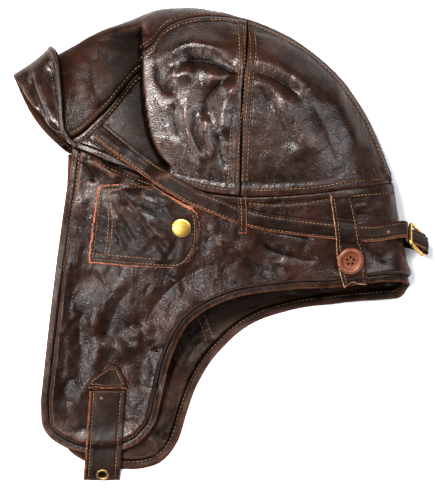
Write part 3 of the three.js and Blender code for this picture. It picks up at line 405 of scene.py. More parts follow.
def right_height(x, y):
    """Height of the lower wall's outer face, which rests on the floor and is raised by what lies under it."""
    away, z = to_ridge(x, y)
    top = np.zeros(x.shape)
    for half, reach, height, line in PROP_LINES:
        d = nearest(line, x, y)[0]
        top = np.maximum(top, height * ease((half + reach - d) / reach))
    return z - (z - top) * dome(away / ROUND_RIGHT)


NOISE_CELLS = 97


class Noise:
    """Smooth random hills, one about every "size" millimetres."""

    def __init__(self, seed, size):
        self.turns = np.random.default_rng(seed).random((NOISE_CELLS, NOISE_CELLS)) * 2 * math.pi
        self.size = size

    def __call__(self, x, y):
        u, v = x / self.size + 40, y / self.size + 40
        i, j = np.floor(u).astype(int), np.floor(v).astype(int)
        fu, fv = u - i, v - j
        wu, wv = ease(fu), ease(fv)

        def corner(di, dj):
            turn = self.turns[(i + di) % NOISE_CELLS, (j + dj) % NOISE_CELLS]
            return np.cos(turn) * (fu - di) + np.sin(turn) * (fv - dj)

        low = corner(0, 0) * (1 - wu) + corner(1, 0) * wu
        high = corner(0, 1) * (1 - wu) + corner(1, 1) * wu
        return (low * (1 - wv) + high * wv) * 1.5


# Broad swells, middle and fine wrinkles, and two fields that sway them.
HILLS = {side: [Noise(seed + k, size) for k, size in enumerate((30, 13, 6, 9, 9))]
         for side, seed in (("left", 11), ("right", 51))}


def crumple(side, x, y, lean=0.5, long=0.4):
    """Slack leather: broad swells, and broken wrinkles that run mostly one way."""
    broad, middle, fine, sway_x, sway_y = HILLS[side]
    u = x - lean * y + 5 * sway_x(x, y)
    v = long * (y + lean * x) + 3 * sway_y(x, y)
    wrinkle = middle(u + 200, v + 90)
    small = fine(u + 60, v + 30)
    where = ease(0.45 + 1.5 * sway_x(x + 70, y - 40))
    return 1.0 * broad(x, y) + 0.4 * middle(x, y) + where * (0.7 * wrinkle + 0.16 * small) + 0.06 * small


# The way out of the crown at its front rim.
RIM_OUT = np.array([RIBS[0, 4] - RIBS[0, 2], RIBS[0, 1] - RIBS[0, 3]])
RIM_OUT /= np.linalg.norm(RIM_OUT)


def crown_point(s, across, creased=True):
    """Outer face of the crown: across is 0 at the left seam, 1 at the ridge and 2 at the right seam."""
    left = across <= 1
    to_rim = 1 - np.clip(s / FAR_RIM["fade"], 0, 1)
    q = np.sin(np.clip(np.where(left, across, 2 - across), 0, 1) * math.pi / 2)
    rim = np.where(left, 0, to_rim)
    top_x, top_y = ridge_at(s)
    bow = np.where(left, RIM_BOW_LEFT, RIM_BOW_RIGHT) * np.sin(math.pi * q) * to_rim ** 2
    x = (rib("seamX", s) + FAR_RIM["x"] * rim) * (1 - q) + top_x * q - bow * RIM_OUT[0]
    y = (rib("seamY", s) + FAR_RIM["y"] * rim) * (1 - q) + top_y * q - bow * RIM_OUT[1]
    z = np.where(left, left_height(x, y, creased), right_height(x, y))
    return np.stack([x + np.where(left & creased, tuck(x, y)[1], 0), y, z], -1)


def side_point(side, s, down):
    """Outer face of a side with its ear flap: down is 0 at the seam and 1 at the hem."""
    right = side == "right"
    hem_x = rib("hemX", s) + (rib("rightX", s) if right else 0)
    hem_y = rib("hemY", s) + (rib("rightY", s) if right else 0)
    rim = (1 - np.clip(s / FAR_RIM["fade"], 0, 1)) if right else 0
    edge_bow = FRONT_EDGE_BOW * (1 - np.clip(s / 0.3, 0, 1)) ** 2
    bow = (edge_bow + rib("bow", s)) * np.sin(math.pi * np.clip(down, 0, 1))
    x = (rib("seamX", s) + FAR_RIM["x"] * rim) * (1 - down) + hem_x * down - bow
    y = (rib("seamY", s) + FAR_RIM["y"] * rim) * (1 - down) + hem_y * down
    apart = GAP * ease((s - 0.93) / 0.07)
    z = right_height(x, y) - apart if right else left_height(x, y) + apart
    return np.stack([x, y, z], -1)


# Grids of points

def flat_call(function, *arrays):
    """Calls a function of one-dimensional arrays with grids."""
    grids = np.broadcast_arrays(*arrays)
    out = function(*[g.ravel().astype(float) for g in grids])
    return out.reshape(*grids[0].shape, *out.shape[1:])


def grid_normals(grid, flip=False):
    """A grid's unit normals; flip turns them over."""
    normals = unit(np.cross(np.gradient(grid, axis=0), np.gradient(grid, axis=1)))
    return -normals if flip else normals


def edge_distance(grid):
    """How far each point is from the grid's first row, last row, first column and last column."""
    runs = []
    for axis in (0, 1):
        steps = np.linalg.norm(np.diff(grid, axis=axis), axis=-1)
        runs.append(np.insert(np.cumsum(steps, axis), 0, 0.0, axis))
    along, over = runs
    return along, along[-1:] - along, over, over[:, -1:] - over


def blur(values, times):
    """Each value mixed with its four neighbours, a number of times."""
    for _ in range(times):
        padded = np.pad(values, 1, mode="edge")
        around = padded[:-2, 1:-1] + padded[2:, 1:-1] + padded[1:-1, :-2] + padded[1:-1, 2:]
        values = (around + 2 * values) / 6
    return values


def relief(grid, normals):
    """How far each point stands out of its surroundings: ridges are positive and valleys negative."""
    mean = np.stack([blur(grid[..., k], 14) for k in range(3)], -1)
    return ((grid - mean) * normals).sum(-1)


def resample(line, spacing):
    """The points of a polyline at about equal spacing."""
    line = np.asarray(line, float)
    steps = lengths(line)
    count = max(int(round(steps[-1] / spacing)), 2)
    return read_at(steps, line, np.linspace(0, steps[-1], count + 1))


def new_mesh(name, points, faces, materials, face_slots=None, attributes=None):
    """A smooth-shaded piece from points in millimetres."""
    mesh = bpy.data.meshes.new(name)
    shifted = (np.asarray(points) + FRAME_SHIFT) * METRE
    mesh.from_pydata(shifted.tolist(), [], faces)
    for material in materials:
        mesh.materials.append(material)
    if face_slots is not None:
        mesh.polygons.foreach_set("material_index", np.asarray(face_slots, np.int32))
    mesh.polygons.foreach_set("use_smooth", np.ones(len(mesh.polygons), bool))
    for key, values in (attributes or {}).items():
        layer = mesh.attributes.new(key, "FLOAT", "POINT")
        layer.data.foreach_set("value", np.asarray(values, np.float32))
    mesh.update()
    piece = bpy.data.objects.new(name, mesh)
    bpy.context.scene.collection.objects.link(piece)
    return piece


def belongs(piece, node=None):
    """Puts a piece on the only body. A piece that stands for a solid names its node, whose imported part is
    hidden.
    """
    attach(piece, "root")
    if node:
        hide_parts(node)


def facing(grid, flip, up):
    """A grid's normals on the side that faces up or down, and whether its faces are turned for that."""
    normals = grid_normals(grid, flip)
    if normals[..., 2].mean() * up < 0:
        return -normals, not flip
    return normals, flip


def shell(name, outer, thickness, materials, flip, marks, rims, rim_width, bulge=0.35, inner_push=0.0):
    """A closed sheet: an outer and an inner grid and a rounded edge all round.
    marks are values of its points by name. rims tells which of the first and last row and the first and
    last column show their cut edge, out to rim_width on the outer face."""
    n, m = outer.shape[:2]
    normals = grid_normals(outer, flip)
    inner = outer - normals * (np.zeros((n, m)) + thickness + inner_push)[..., None]
    ids = np.arange(n * m).reshape(n, m)
    ring = np.concatenate([ids[:, 0], ids[-1, 1:], ids[-2::-1, -1], ids[0, -2:0:-1]])
    border = outer.reshape(-1, 3)[ring]
    below = inner.reshape(-1, 3)[ring]
    along = np.roll(border, -1, 0) - np.roll(border, 1, 0)
    out = unit(np.cross(along, normals.reshape(-1, 3)[ring]))
    centre = outer.reshape(-1, 3).mean(0)
    if ((border - centre) * out).sum() < 0:
        out = -out
    rings = [border * (1 - t) + below * t + out * bulge * math.sin(math.pi * t) for t in (0.2, 0.5, 0.8)]
    points = np.concatenate([outer.reshape(-1, 3), inner.reshape(-1, 3), *rings])
    a, b, c, d = ids[:-1, :-1], ids[1:, :-1], ids[1:, 1:], ids[:-1, 1:]
    one_way = np.stack([a, b, c, d], -1).reshape(-1, 4)
    other_way = np.stack([a, d, c, b], -1).reshape(-1, 4)
    top, bottom = (other_way, one_way) if flip else (one_way, other_way)
    loops = [ring, *[np.arange(len(ring)) + 2 * n * m + k * len(ring) for k in range(3)], ring + n * m]
    edge = []
    for first, second in zip(loops[:-1], loops[1:]):
        quad = [first, np.roll(first, -1), np.roll(second, -1), second]
        edge.append(np.stack(quad if flip else quad[::-1], 1))
    faces = np.concatenate([top, bottom + n * m, *edge]).tolist()
    top_slots = np.full(a.shape, FACE)
    for distance, shown in zip(edge_distance(outer), rims):
        if shown:
            near = (distance[:-1, :-1] < rim_width) & (distance[1:, 1:] < rim_width + 0.9)
            top_slots[near] = CUT
    ring_rims = [rims[2], rims[1], rims[3], rims[0]]
    ring_slots = np.repeat([CUT if shown else EDGE for shown in ring_rims], [n, m - 1, n - 1, m - 2])
    slots = np.concatenate([top_slots.ravel(), np.full(len(bottom), BACK), np.tile(ring_slots, 4)])
    rise = relief(outer, normals)
    attributes = {"relief": np.concatenate([rise.ravel(), np.zeros(n * m), np.zeros(3 * len(ring))])}
    for key, values in marks.items():
        attributes[key] = np.concatenate([values.ravel(), values.ravel(), np.tile(values.ravel()[ring], 3)])
    return new_mesh(name, points, faces, materials, slots, attributes)


# Materials

def opaque(colour):
    """A colour with its alpha; a socket stays as it is."""
    return colour if isinstance(colour, bpy.types.NodeSocket) else (*colour, 1)


class Graph:
    """A node material with short ways to add nodes."""

    def __init__(self, name):
        self.material = bpy.data.materials.new(name)
        self.material.use_nodes = True
        self.tree = self.material.node_tree
        self.shader = self.tree.nodes["Principled BSDF"]
        self.place = self.node("ShaderNodeTexCoord", {}).outputs["Object"]

    def node(self, kind, inputs, **settings):
        """A node with its settings. Its inputs, by name or number, are values or sockets."""
        made = self.tree.nodes.new(kind)
        for key, value in settings.items():
            setattr(made, key, value)
        for key, value in inputs.items():
            self.put(made.inputs[key], value)
        return made

    def put(self, target, value):
        if isinstance(value, bpy.types.NodeSocket):
            self.tree.links.new(value, target)
        else:
            target.default_value = value

    def noise(self, size_mm, detail=2.0, roughness=0.5, stretch=None):
        inputs = {"Scale": 1 / (size_mm * METRE), "Detail": detail, "Roughness": roughness,
                  "Vector": self.stretched(stretch)}
        return self.node("ShaderNodeTexNoise", inputs).outputs["Fac"]

    def ridges(self, size_mm, stretch):
        inputs = {"Scale": 1 / (size_mm * METRE), "Detail": 2.0, "Distortion": 0.6,
                  "Vector": self.stretched(stretch)}
        return self.node("ShaderNodeTexNoise", inputs, noise_type="RIDGED_MULTIFRACTAL").outputs["Fac"]

    def cells(self, size_mm):
        inputs = {"Scale": 1 / (size_mm * METRE), "Vector": self.place}
        return self.node("ShaderNodeTexVoronoi", inputs, feature="DISTANCE_TO_EDGE").outputs["Distance"]

    def stretched(self, stretch):
        if stretch is None:
            return self.place
        return self.node("ShaderNodeMapping", {"Scale": stretch, "Vector": self.place}).outputs["Vector"]

    def attribute(self, name):
        return self.node("ShaderNodeAttribute", {}, attribute_name=name).outputs["Fac"]

    def math(self, operation, a, b):
        return self.node("ShaderNodeMath", {0: a, 1: b}, operation=operation).outputs[0]

    def ramp(self, value, low, high, to_low=0.0, to_high=1.0):
        inputs = {"Value": value, "From Min": low, "From Max": high, "To Min": to_low, "To Max": to_high}
        return self.node("ShaderNodeMapRange", inputs).outputs[0]

    def mix(self, share, a, b):
        return self.node("ShaderNodeMix", {0: share, 6: opaque(a), 7: opaque(b)}, data_type="RGBA").outputs[2]

    def bump(self, height, distance_mm, strength=1.0, before=None):
        inputs = {"Strength": strength, "Distance": distance_mm * METRE, "Height": height}
        if before is not None:
            inputs["Normal"] = before
        return self.node("ShaderNodeBump", inputs).outputs["Normal"]

    def finish(self, colour, roughness, normal, metallic=0.0, coat=0.0, specular=0.5):
        inputs = {"Base Color": opaque(colour), "Roughness": roughness, "Metallic": metallic,
                  "Coat Weight": coat, "Coat Roughness": 0.3, "Specular IOR Level": specular}
        if normal is not None:
            inputs["Normal"] = normal
        for key, value in inputs.items():
            self.put(self.shader.inputs[key], value)
        return self.material


DARK = (0.0165, 0.0082, 0.0056)
BROWN = (0.043, 0.0202, 0.0128)
WORN = (0.130, 0.052, 0.028)
RUST = (0.13, 0.050, 0.024)
# The colour that painted shade darkens the leather towards.
SHADE_COLOUR = (0.0022, 0.0014, 0.0012)


def leather(name, dark, brown, worn, grain=1.0, shine=0.28, specular=0.40):
    """Worn grained leather: painted shade in the valleys, rubbed lighter on ridges and along edges.
    shine is the mean roughness, and grain the depth of all its bumps."""
    g = Graph(name)
    patches = g.noise(34, 4.0, 0.6)
    mottle = g.noise(6, 5.0, 0.65)
    speck = g.noise(1.8, 3.0, 0.6)
    relief_height = g.attribute("relief")
    wear = g.attribute("wear")
    painted_shade = g.attribute("painted_shade")

    # Colour: patches, rubbed ridges and edges, painted shade in the valleys, cracks, and painted shade in
    # grooves, along stitch rows and by the tuck.
    colour = g.mix(g.ramp(patches, 0.38, 0.64), dark, brown)
    colour = g.mix(g.ramp(mottle, 0.45, 0.72, 0.0, 0.6), colour, brown)
    ridge = g.ramp(relief_height, 0.1, 1.0, 0.0, 1.0)
    rubbed = g.math("MULTIPLY", ridge, g.ramp(mottle, 0.42, 0.62, 0.1, 1.0))
    colour = g.mix(g.math("MULTIPLY", rubbed, 0.6), colour, worn)
    fleck = g.math("MULTIPLY", g.ramp(speck, 0.60, 0.74), g.ramp(patches, 0.48, 0.64))
    colour = g.mix(g.math("MULTIPLY", fleck, 0.55), colour, worn)
    edge = g.math("MULTIPLY", wear, g.ramp(mottle, 0.36, 0.58, 0.25, 1.0))
    colour = g.mix(g.math("MULTIPLY", edge, 0.85), colour, RUST)
    # Painted shade: the leather darkens in valleys, where shade would fall.
    valley = g.ramp(relief_height, -0.08, -0.8, 0.0, 0.85)
    colour = g.mix(valley, colour, tuple(0.35 * c for c in dark))
    crack = g.ridges(11.0, (1.0, 0.7, 1.0))
    colour = g.mix(g.ramp(crack, 1.1, 1.9, 0.0, 0.5), colour, tuple(0.4 * c for c in dark))
    # Painted shade: darker and duller in grooves, along stitch rows and in the hollow by the tuck.
    shaded = g.math("MULTIPLY", g.math("MULTIPLY", painted_shade, painted_shade), 0.92)
    colour = g.mix(shaded, colour, SHADE_COLOUR)

    # Grain: pebbles of two sizes, soft dents, cracks and puckers.
    pebble = g.ramp(g.cells(2.1), 0.0, 0.34)
    fine_pebble = g.ramp(g.cells(1.1), 0.0, 0.34)
    pucker = g.ridges(24.0, (1.0, 0.55, 1.0))
    normal = g.bump(fine_pebble, 0.05 * grain, 0.8)
    normal = g.bump(pebble, 0.08 * grain, 0.9, normal)
    normal = g.bump(g.noise(5.0, 3.0, 0.5), 0.22 * grain, 1.0, normal)
    normal = g.bump(crack, -0.13 * grain, 0.8, normal)
    normal = g.bump(pucker, -0.55 * grain, 0.8, normal)

    # Shine: the painted shade in valleys, grooves, stitch rows and by the tuck takes most of it away.
    uneven = g.ramp(mottle, 0.3, 0.7, shine - 0.06, shine + 0.08)
    roughness = g.math("ADD", uneven, g.ramp(speck, 0.3, 0.7, -0.03, 0.05))
    roughness = g.math("ADD", roughness, g.math("MULTIPLY", painted_shade, 0.3))
    shade = g.math("MAXIMUM", painted_shade, g.math("MULTIPLY", valley, 0.75))
    left_over = g.ramp(shade, 0.1, 0.9, specular, 0.02)
    return g.finish(colour, roughness, normal, specular=left_over)


def raw_edge(name, colour, dark):
    """Cut leather: a dry fibrous edge."""
    g = Graph(name)
    fibre = g.noise(1.6, 4.0, 0.7)
    blotch = g.noise(6, 2.0)
    tone = g.mix(g.ramp(fibre, 0.35, 0.65), dark, colour)
    tone = g.mix(g.ramp(blotch, 0.52, 0.72, 0.0, 0.6), tone, dark)
    return g.finish(tone, 0.85, g.bump(fibre, 0.35), specular=0.25)


def thread(name, light, dark):
    """Twisted thread of uneven age."""
    g = Graph(name)
    twist = g.noise(0.45, 2.0, 0.5, (1.0, 1.0, 2.0))
    age = g.noise(12, 2.0)
    tone = g.mix(g.ramp(age, 0.35, 0.65), dark, light)
    tone = g.mix(g.ramp(twist, 0.4, 0.62, 0.0, 0.4), tone, dark)
    return g.finish(tone, 0.7, g.bump(twist, 0.12), specular=0.3)


def metal(name, light, dark, rough):
    """Brass with tarnish and fine scratches."""
    g = Graph(name)
    tarnish = g.noise(4.5, 4.0, 0.65)
    scratch = g.noise(0.7, 2.0, 0.5, (1.0, 5.0, 1.0))
    tone = g.mix(g.ramp(tarnish, 0.42, 0.72), light, dark)
    roughness = g.ramp(tarnish, 0.3, 0.7, rough, rough + 0.16)
    return g.finish(tone, roughness, g.bump(scratch, 0.03, 0.6), metallic=1.0)


def turned_wood(name):
    """Streaked reddish wood with a thin varnish."""
    g = Graph(name)
    streak = g.noise(1.4, 3.0, 0.6, (1.0, 0.16, 1.0))
    cloud = g.noise(8, 2.0)
    tone = g.mix(g.ramp(streak, 0.3, 0.7), (0.115, 0.040, 0.018), (0.20, 0.074, 0.034))
    tone = g.mix(g.ramp(cloud, 0.45, 0.75, 0.0, 0.45), tone, (0.080, 0.027, 0.012))
    return g.finish(tone, g.ramp(streak, 0.3, 0.7, 0.36, 0.48), g.bump(streak, 0.05, 0.5), coat=0.15)


def shade_nap(name):
    """A dark surface with a short nap, for the painted shade in the eyelet's hole."""
    g = Graph(name)
    nap = g.noise(1.2, 3.0, 0.6)
    tone = g.mix(g.ramp(nap, 0.35, 0.65), (0.012, 0.008, 0.007), (0.030, 0.018, 0.013))
    return g.finish(tone, 0.85, g.bump(nap, 0.3), specular=0.2)


LEATHER = leather("helmet_leather", DARK, BROWN, WORN)
FRONT_LEATHER = leather("front_leather", DARK, BROWN, WORN, grain=1.1, specular=0.58)
BAND_LEATHER = leather("band_leather", DARK, BROWN, WORN, specular=0.20)
BRIM_LEATHER = leather("brim_leather", DARK, BROWN, WORN, grain=0.8, shine=0.27, specular=0.45)
STRAP_LEATHER = leather("strap_leather", (0.0120, 0.0063, 0.0043), (0.031, 0.0148, 0.0090),
                        (0.115, 0.050, 0.027), grain=0.8, shine=0.40, specular=0.26)
COVER_LEATHER = leather("cover_leather", (0.0135, 0.0072, 0.0052), (0.034, 0.0170, 0.0110),
                        WORN, grain=0.8, shine=0.33, specular=0.28)
GREY_LEATHER = leather("rolled_edge_leather", (0.026, 0.017, 0.014), (0.050, 0.032, 0.025),
                       (0.12, 0.07, 0.05), grain=0.7, shine=0.32)
INNER_LEATHER = leather("inner_leather", (0.0150, 0.0066, 0.0036), (0.046, 0.0200, 0.0100),
                        (0.10, 0.045, 0.024), grain=1.1, shine=0.40, specular=0.2)
DARK_EDGE = raw_edge("dark_cut_edge", (0.034, 0.014, 0.008), (0.010, 0.005, 0.0035))
HEM_EDGE = raw_edge("hem_edge", (0.115, 0.040, 0.017), (0.035, 0.014, 0.007))
RED_EDGE = raw_edge("red_cut_edge", (0.42, 0.170, 0.100), (0.17, 0.056, 0.030))
TAN_EDGE = raw_edge("tan_cut_edge", (0.26, 0.105, 0.055), (0.07, 0.028, 0.015))
PALE_EDGE = raw_edge("pale_cut_edge", (0.40, 0.25, 0.165), (0.10, 0.046, 0.027))
THREAD = thread("waxed_thread", (0.32, 0.190, 0.105), (0.11, 0.056, 0.030))
GOLD = metal("snap_brass", (0.66, 0.45, 0.15), (0.42, 0.26, 0.08), 0.36)
BUCKLE_BRASS = metal("buckle_brass", (0.56, 0.38, 0.15), (0.22, 0.13, 0.045), 0.32)
OLD_BRASS = metal("antique_brass", (0.46, 0.31, 0.15), (0.10, 0.065, 0.035), 0.36)
WOOD = turned_wood("button_wood")
EYELET_SHADE = shade_nap("eyelet_painted_shade")


# Stitches

sewn = {}

# Each ring of a thread: part of its length, height and width.
THREAD_RINGS = ((0, -0.35, 0.75), (0.22, 0.30, 1.0), (0.5, 0.46, 1.05), (0.78, 0.30, 1.0), (1, -0.35, 0.75))
THREAD_SIDES = 6


def sew(group, line, normals, pitch, seed):
    """Short arched threads along a line on a surface whose outward normals are given."""
    line = np.asarray(line, float)
    steps = lengths(line)
    count = int(steps[-1] / pitch)
    random = np.random.default_rng(seed)
    start = (np.arange(count) + 0.10 + 0.05 * random.random(count)) * pitch
    end = (np.arange(count) + 0.84 + 0.08 * random.random(count)) * pitch
    turn = np.arange(THREAD_SIDES) * 2 * math.pi / THREAD_SIDES
    rings = []
    for part, rise, width in THREAD_RINGS:
        at = start + (end - start) * part
        out = unit(read_at(steps, normals, at))
        along = unit(read_at(steps, line, at + 0.3) - read_at(steps, line, at - 0.3))
        across = np.cross(along, out)
        sway = (part - 0.5) * 0.45 * (random.random(count) - 0.35)
        centre = read_at(steps, line, at) + out * rise * THREAD_RADIUS * 1.3 + across * sway[:, None]
        around = across[:, None] * np.cos(turn)[:, None] + out[:, None] * np.sin(turn)[:, None]
        rings.append(centre[:, None] + THREAD_RADIUS * width * around)
    sewn.setdefault(group, []).append(np.stack(rings, 1))


def finish_stitches(group):
    """Makes all the threads of a group one piece."""
    threads = np.concatenate(sewn[group])
    ids = np.arange(threads.size // 3).reshape(threads.shape[:3])
    a, b = ids[:, :-1], ids[:, 1:]
    sides = np.stack([a, np.roll(a, -1, 2), np.roll(b, -1, 2), b], -1).reshape(-1, 4).tolist()
    caps = ids[:, 0, ::-1].tolist() + ids[:, -1].tolist()
    belongs(new_mesh(group, threads.reshape(-1, 3), sides + caps, [THREAD]))


# What the pieces are laid on: the walls, and later what is already laid on them.

FAR_ABOVE = 200.0


class Ground:
    """Surfaces to lay things on, for one side of the helmet."""

    def __init__(self, side):
        self.side = side
        self.points = []
        self.faces = []
        self.count = 0
        self.tree = None

    def add(self, points, faces):
        self.points += points.tolist()
        self.faces += [[i + self.count for i in face] for face in faces]
        self.count += len(points)
        self.tree = None

    def ready(self):
        if self.tree is None:
            self.tree = BVHTree.FromPolygons(self.points, self.faces)
        return self.tree

    def height(self, x, y):
        """The height of the outer face over each place."""
        tree = self.ready()
        up = UP[self.side]
        out = np.full(x.size, np.nan)
        for k, (px, py) in enumerate(zip(x.ravel(), y.ravel())):
            hit = tree.ray_cast(Vector((px, py, FAR_ABOVE * up)), Vector((0, 0, -up)))[0]
            if hit is not None:
                out[k] = hit.z
        surface = left_height if self.side == "left" else right_height
        beside = surface(x.ravel().astype(float), y.ravel().astype(float))
        return np.where(np.isnan(out), beside, out).reshape(x.shape)

    def snap(self, line):
        """The nearest places on the surfaces to points of a line, and the normals there."""
        tree = self.ready()
        found = [tree.find_nearest(Vector(p)) for p in line]
        return np.array([hit for hit, *_ in found]), np.array([normal for _, normal, *_ in found])


grounds = {side: Ground(side) for side in UP}


def design_points(piece):
    """A piece's points in this script's own millimetres."""
    flat = np.empty(len(piece.data.vertices) * 3, np.float32)
    piece.data.vertices.foreach_get("co", flat)
    return flat.reshape(-1, 3).astype(float) / METRE - FRAME_SHIFT


def lay_on(piece, side):
    """Makes a finished piece part of what later ones are laid on."""
    faces = [list(p.vertices) for p in piece.data.polygons]
    grounds[side].add(design_points(piece), faces)


def offset_path(line, distance):
    """A flat polyline moved sideways, to the left of its direction."""
    line = np.asarray(line, float)[:, :2]
    way = unit(np.gradient(line, axis=0))
    return line + np.stack([-way[:, 1], way[:, 0]], 1) * distance


# The middle of the hollow beside a place: how far it lies towards the flaps, and its height.
HOLLOW_BESIDE = 20
HOLLOW_Z = 36.0


def sew_near(side, line, inward, seed, pitch=STITCH_PITCH):
    """A stitch row near a line in space, on the outer or the inner face of the walls."""
    spots, normals = grounds[side].snap(resample(line, ROW_SPACING))
    centre = np.column_stack([spots[:, 0], spots[:, 1] - HOLLOW_BESIDE, np.full(len(spots), HOLLOW_Z)])
    sense = -1 if inward else 1
    normals[((spots - centre) * normals).sum(1) * sense < 0] *= -1
    for _ in range(2):
        spots[1:-1] = (spots[:-2] + 2 * spots[1:-1] + spots[2:]) / 4
        normals[1:-1] = (normals[:-2] + 2 * normals[1:-1] + normals[2:]) / 4
    sew(f"wall_stitches_{side}", spots, normals, pitch, seed)


# Walls

# How deep or high the worked edges are.
SEAM_GROOVE = 0.8
ALLOWANCE = 0.55
HEM_SINK = 0.9
HEM_PUFF = 1.9
LAP_RISE = 1.0


def seam_profile(d):
    """A groove at the seam, and the raised allowance beside it out to its stitch row."""
    return -SEAM_GROOVE * bell(d, 0.5) + ALLOWANCE * up_to(d, 5.0, 1.8)


def hem_profile(d):
    """A flat margin, the groove of the stitch row and the puffed leather inside it."""
    margin = -HEM_SINK * up_to(d, 5.0, 0.9)
    groove = -HEM_SINK * bell(d, 0.75, HEM_ROW)
    return margin + groove + HEM_PUFF * ease((d - 6.2) / 2.6) * fading(d, 8.5, 8)


def lap_profile(d):
    """The lower edge of the crown, which laps over the side."""
    return LAP_RISE * up_to(d, 5.5, 3.5) - 0.3 * up_to(d, 0, 1.2)


def under_profile(d):
    """The top of the side, with the allowance behind it."""
    return -0.5 * bell(d, 1.4) + ALLOWANCE * up_to(d, 7.2, 2.0)


def rim_profile(d):
    """The rounded front rim of the crown with the groove of its stitch row."""
    return -0.5 * up_to(d, 0, 1.2) - 0.35 * bell(d, 0.7, 4.2)


# For each kind of edge: its profile, how far in the leather lies calm, how worn it is, and how far in the
# painted shade of its groove lies and how wide.
PROFILES = dict(seam=seam_profile, hem=hem_profile, lap=lap_profile, under=under_profile, rim=rim_profile)
CALM = dict(seam=9.0, hem=10.0, lap=10.0, under=8.0, rim=12.0)
EDGE_WEAR = dict(seam=0.25, hem=1.0, lap=0.5, under=0.0, rim=0.8)
GROOVE_SHADE = dict(seam=(0.0, 0.5), hem=(HEM_ROW, 1.1), under=(0.0, 0.5))


CORD_VALUES = 512


def cord_noise(seed):
    """Smooth random values along a line, for gathers, frayed edges and fine creases."""
    values = np.random.default_rng(seed).random(CORD_VALUES) * 2 - 1

    def at(x):
        i = np.floor(x).astype(int)
        f = ease(x - i)
        return values[i % CORD_VALUES] * (1 - f) + values[(i + 1) % CORD_VALUES] * f

    return at


GATHER = cord_noise(3)


# The seam across the crown: places across it, and its station at each.
CORONAL_ACROSS = [0, 0.35, 0.6, 0.8, 1, 1.5, 2]
CORONAL_STATION = [0.4985, 0.5, 0.5075, 0.5085, 0.504, 0.5, 0.5]


def coronal(across):
    """Station of the seam across the crown, which bows a little towards the nape near the top."""
    return through(CORONAL_ACROSS, CORONAL_STATION, across)


def crown_grid(first, last, start, end, n, m):
    """first and last give the end stations by place across, start and end the places across by station."""
    u = np.linspace(0, 1, n)[:, None]
    v = np.linspace(0, 1, m)[None, :]
    s = np.broadcast_to(0.3 + 0 * u + 0 * v, (n, m)).copy()
    for _ in range(4):
        across = flat_call(start, s) * (1 - v) + flat_call(end, s) * v
        s = flat_call(first, across) * (1 - u) + flat_call(last, across) * u
    return flat_call(crown_point, s, across)


HALF_GAP_ACROSS = 0.0016


def band_edge(column, way):
    """Where the middle band's seam crosses a rib, moved by half the gap."""
    return lambda s: rib(column, s) + HALF_GAP_ACROSS * way


def level(value):
    """The same value at each station."""
    return lambda s: np.full(np.shape(s), float(value))


def point_tree(points):
    """Points in space, to be found by place."""
    tree = KDTree(len(points))
    for k, p in enumerate(points):
        tree.insert(Vector(p), k)
    tree.balance()
    return tree


def tree_distance(tree, grid):
    """How far each point of a grid is from the nearest point of a tree."""
    return np.array([tree.find(Vector(p))[2] for p in grid.reshape(-1, 3)]).reshape(grid.shape[:2])


def hem_distance(grid):
    """How far each point is from the front edge and the hem, which are the first row and last column."""
    return tree_distance(point_tree(resample(np.concatenate([grid[0], grid[1:, -1]]), 0.6)), grid)


def fold_shade(side, grid):
    """How much painted shade lies in the hollow in front of the tuck, and the softer painted shade beside it.
    """
    if side != "left":
        return 0.0
    x, y = grid[..., 0], grid[..., 1]
    away, along, way = nearest(TUCK_LINE, x, y)
    part = along / (len(TUCK_LINE) - 1)
    ends = ease(part / 0.12) * ease((1.0 - part) / 0.1)
    d = away * way
    hollow = fading(-d, 2, 4.0)
    beside = 0.62 * fading(-d, 2, 36.0)
    return ends * ease((1.6 - d) / 2.6) * np.maximum(hollow, beside)


def inner_push(side, grid, kinds, distances):
    """How much further in than its thickness the inner face of a wall lies."""
    push = np.zeros(grid.shape[:2])
    for d, kind in zip(distances, kinds):
        if kind in ("hem", "rim"):
            push += 0.5 * up_to(d, 4.0, 1.0) - 0.5 * bell(d, 0.8, INNER_ROW)
    if side == "right":
        x, y = grid[..., 0], grid[..., 1]
        push += np.clip(1.3 * crumple(side, 2.2 * x + 50, 2.2 * y, -0.6), -1.6, 1.6)
        push += folds(x, y, FAR_LINES)
    return 0.6 * push


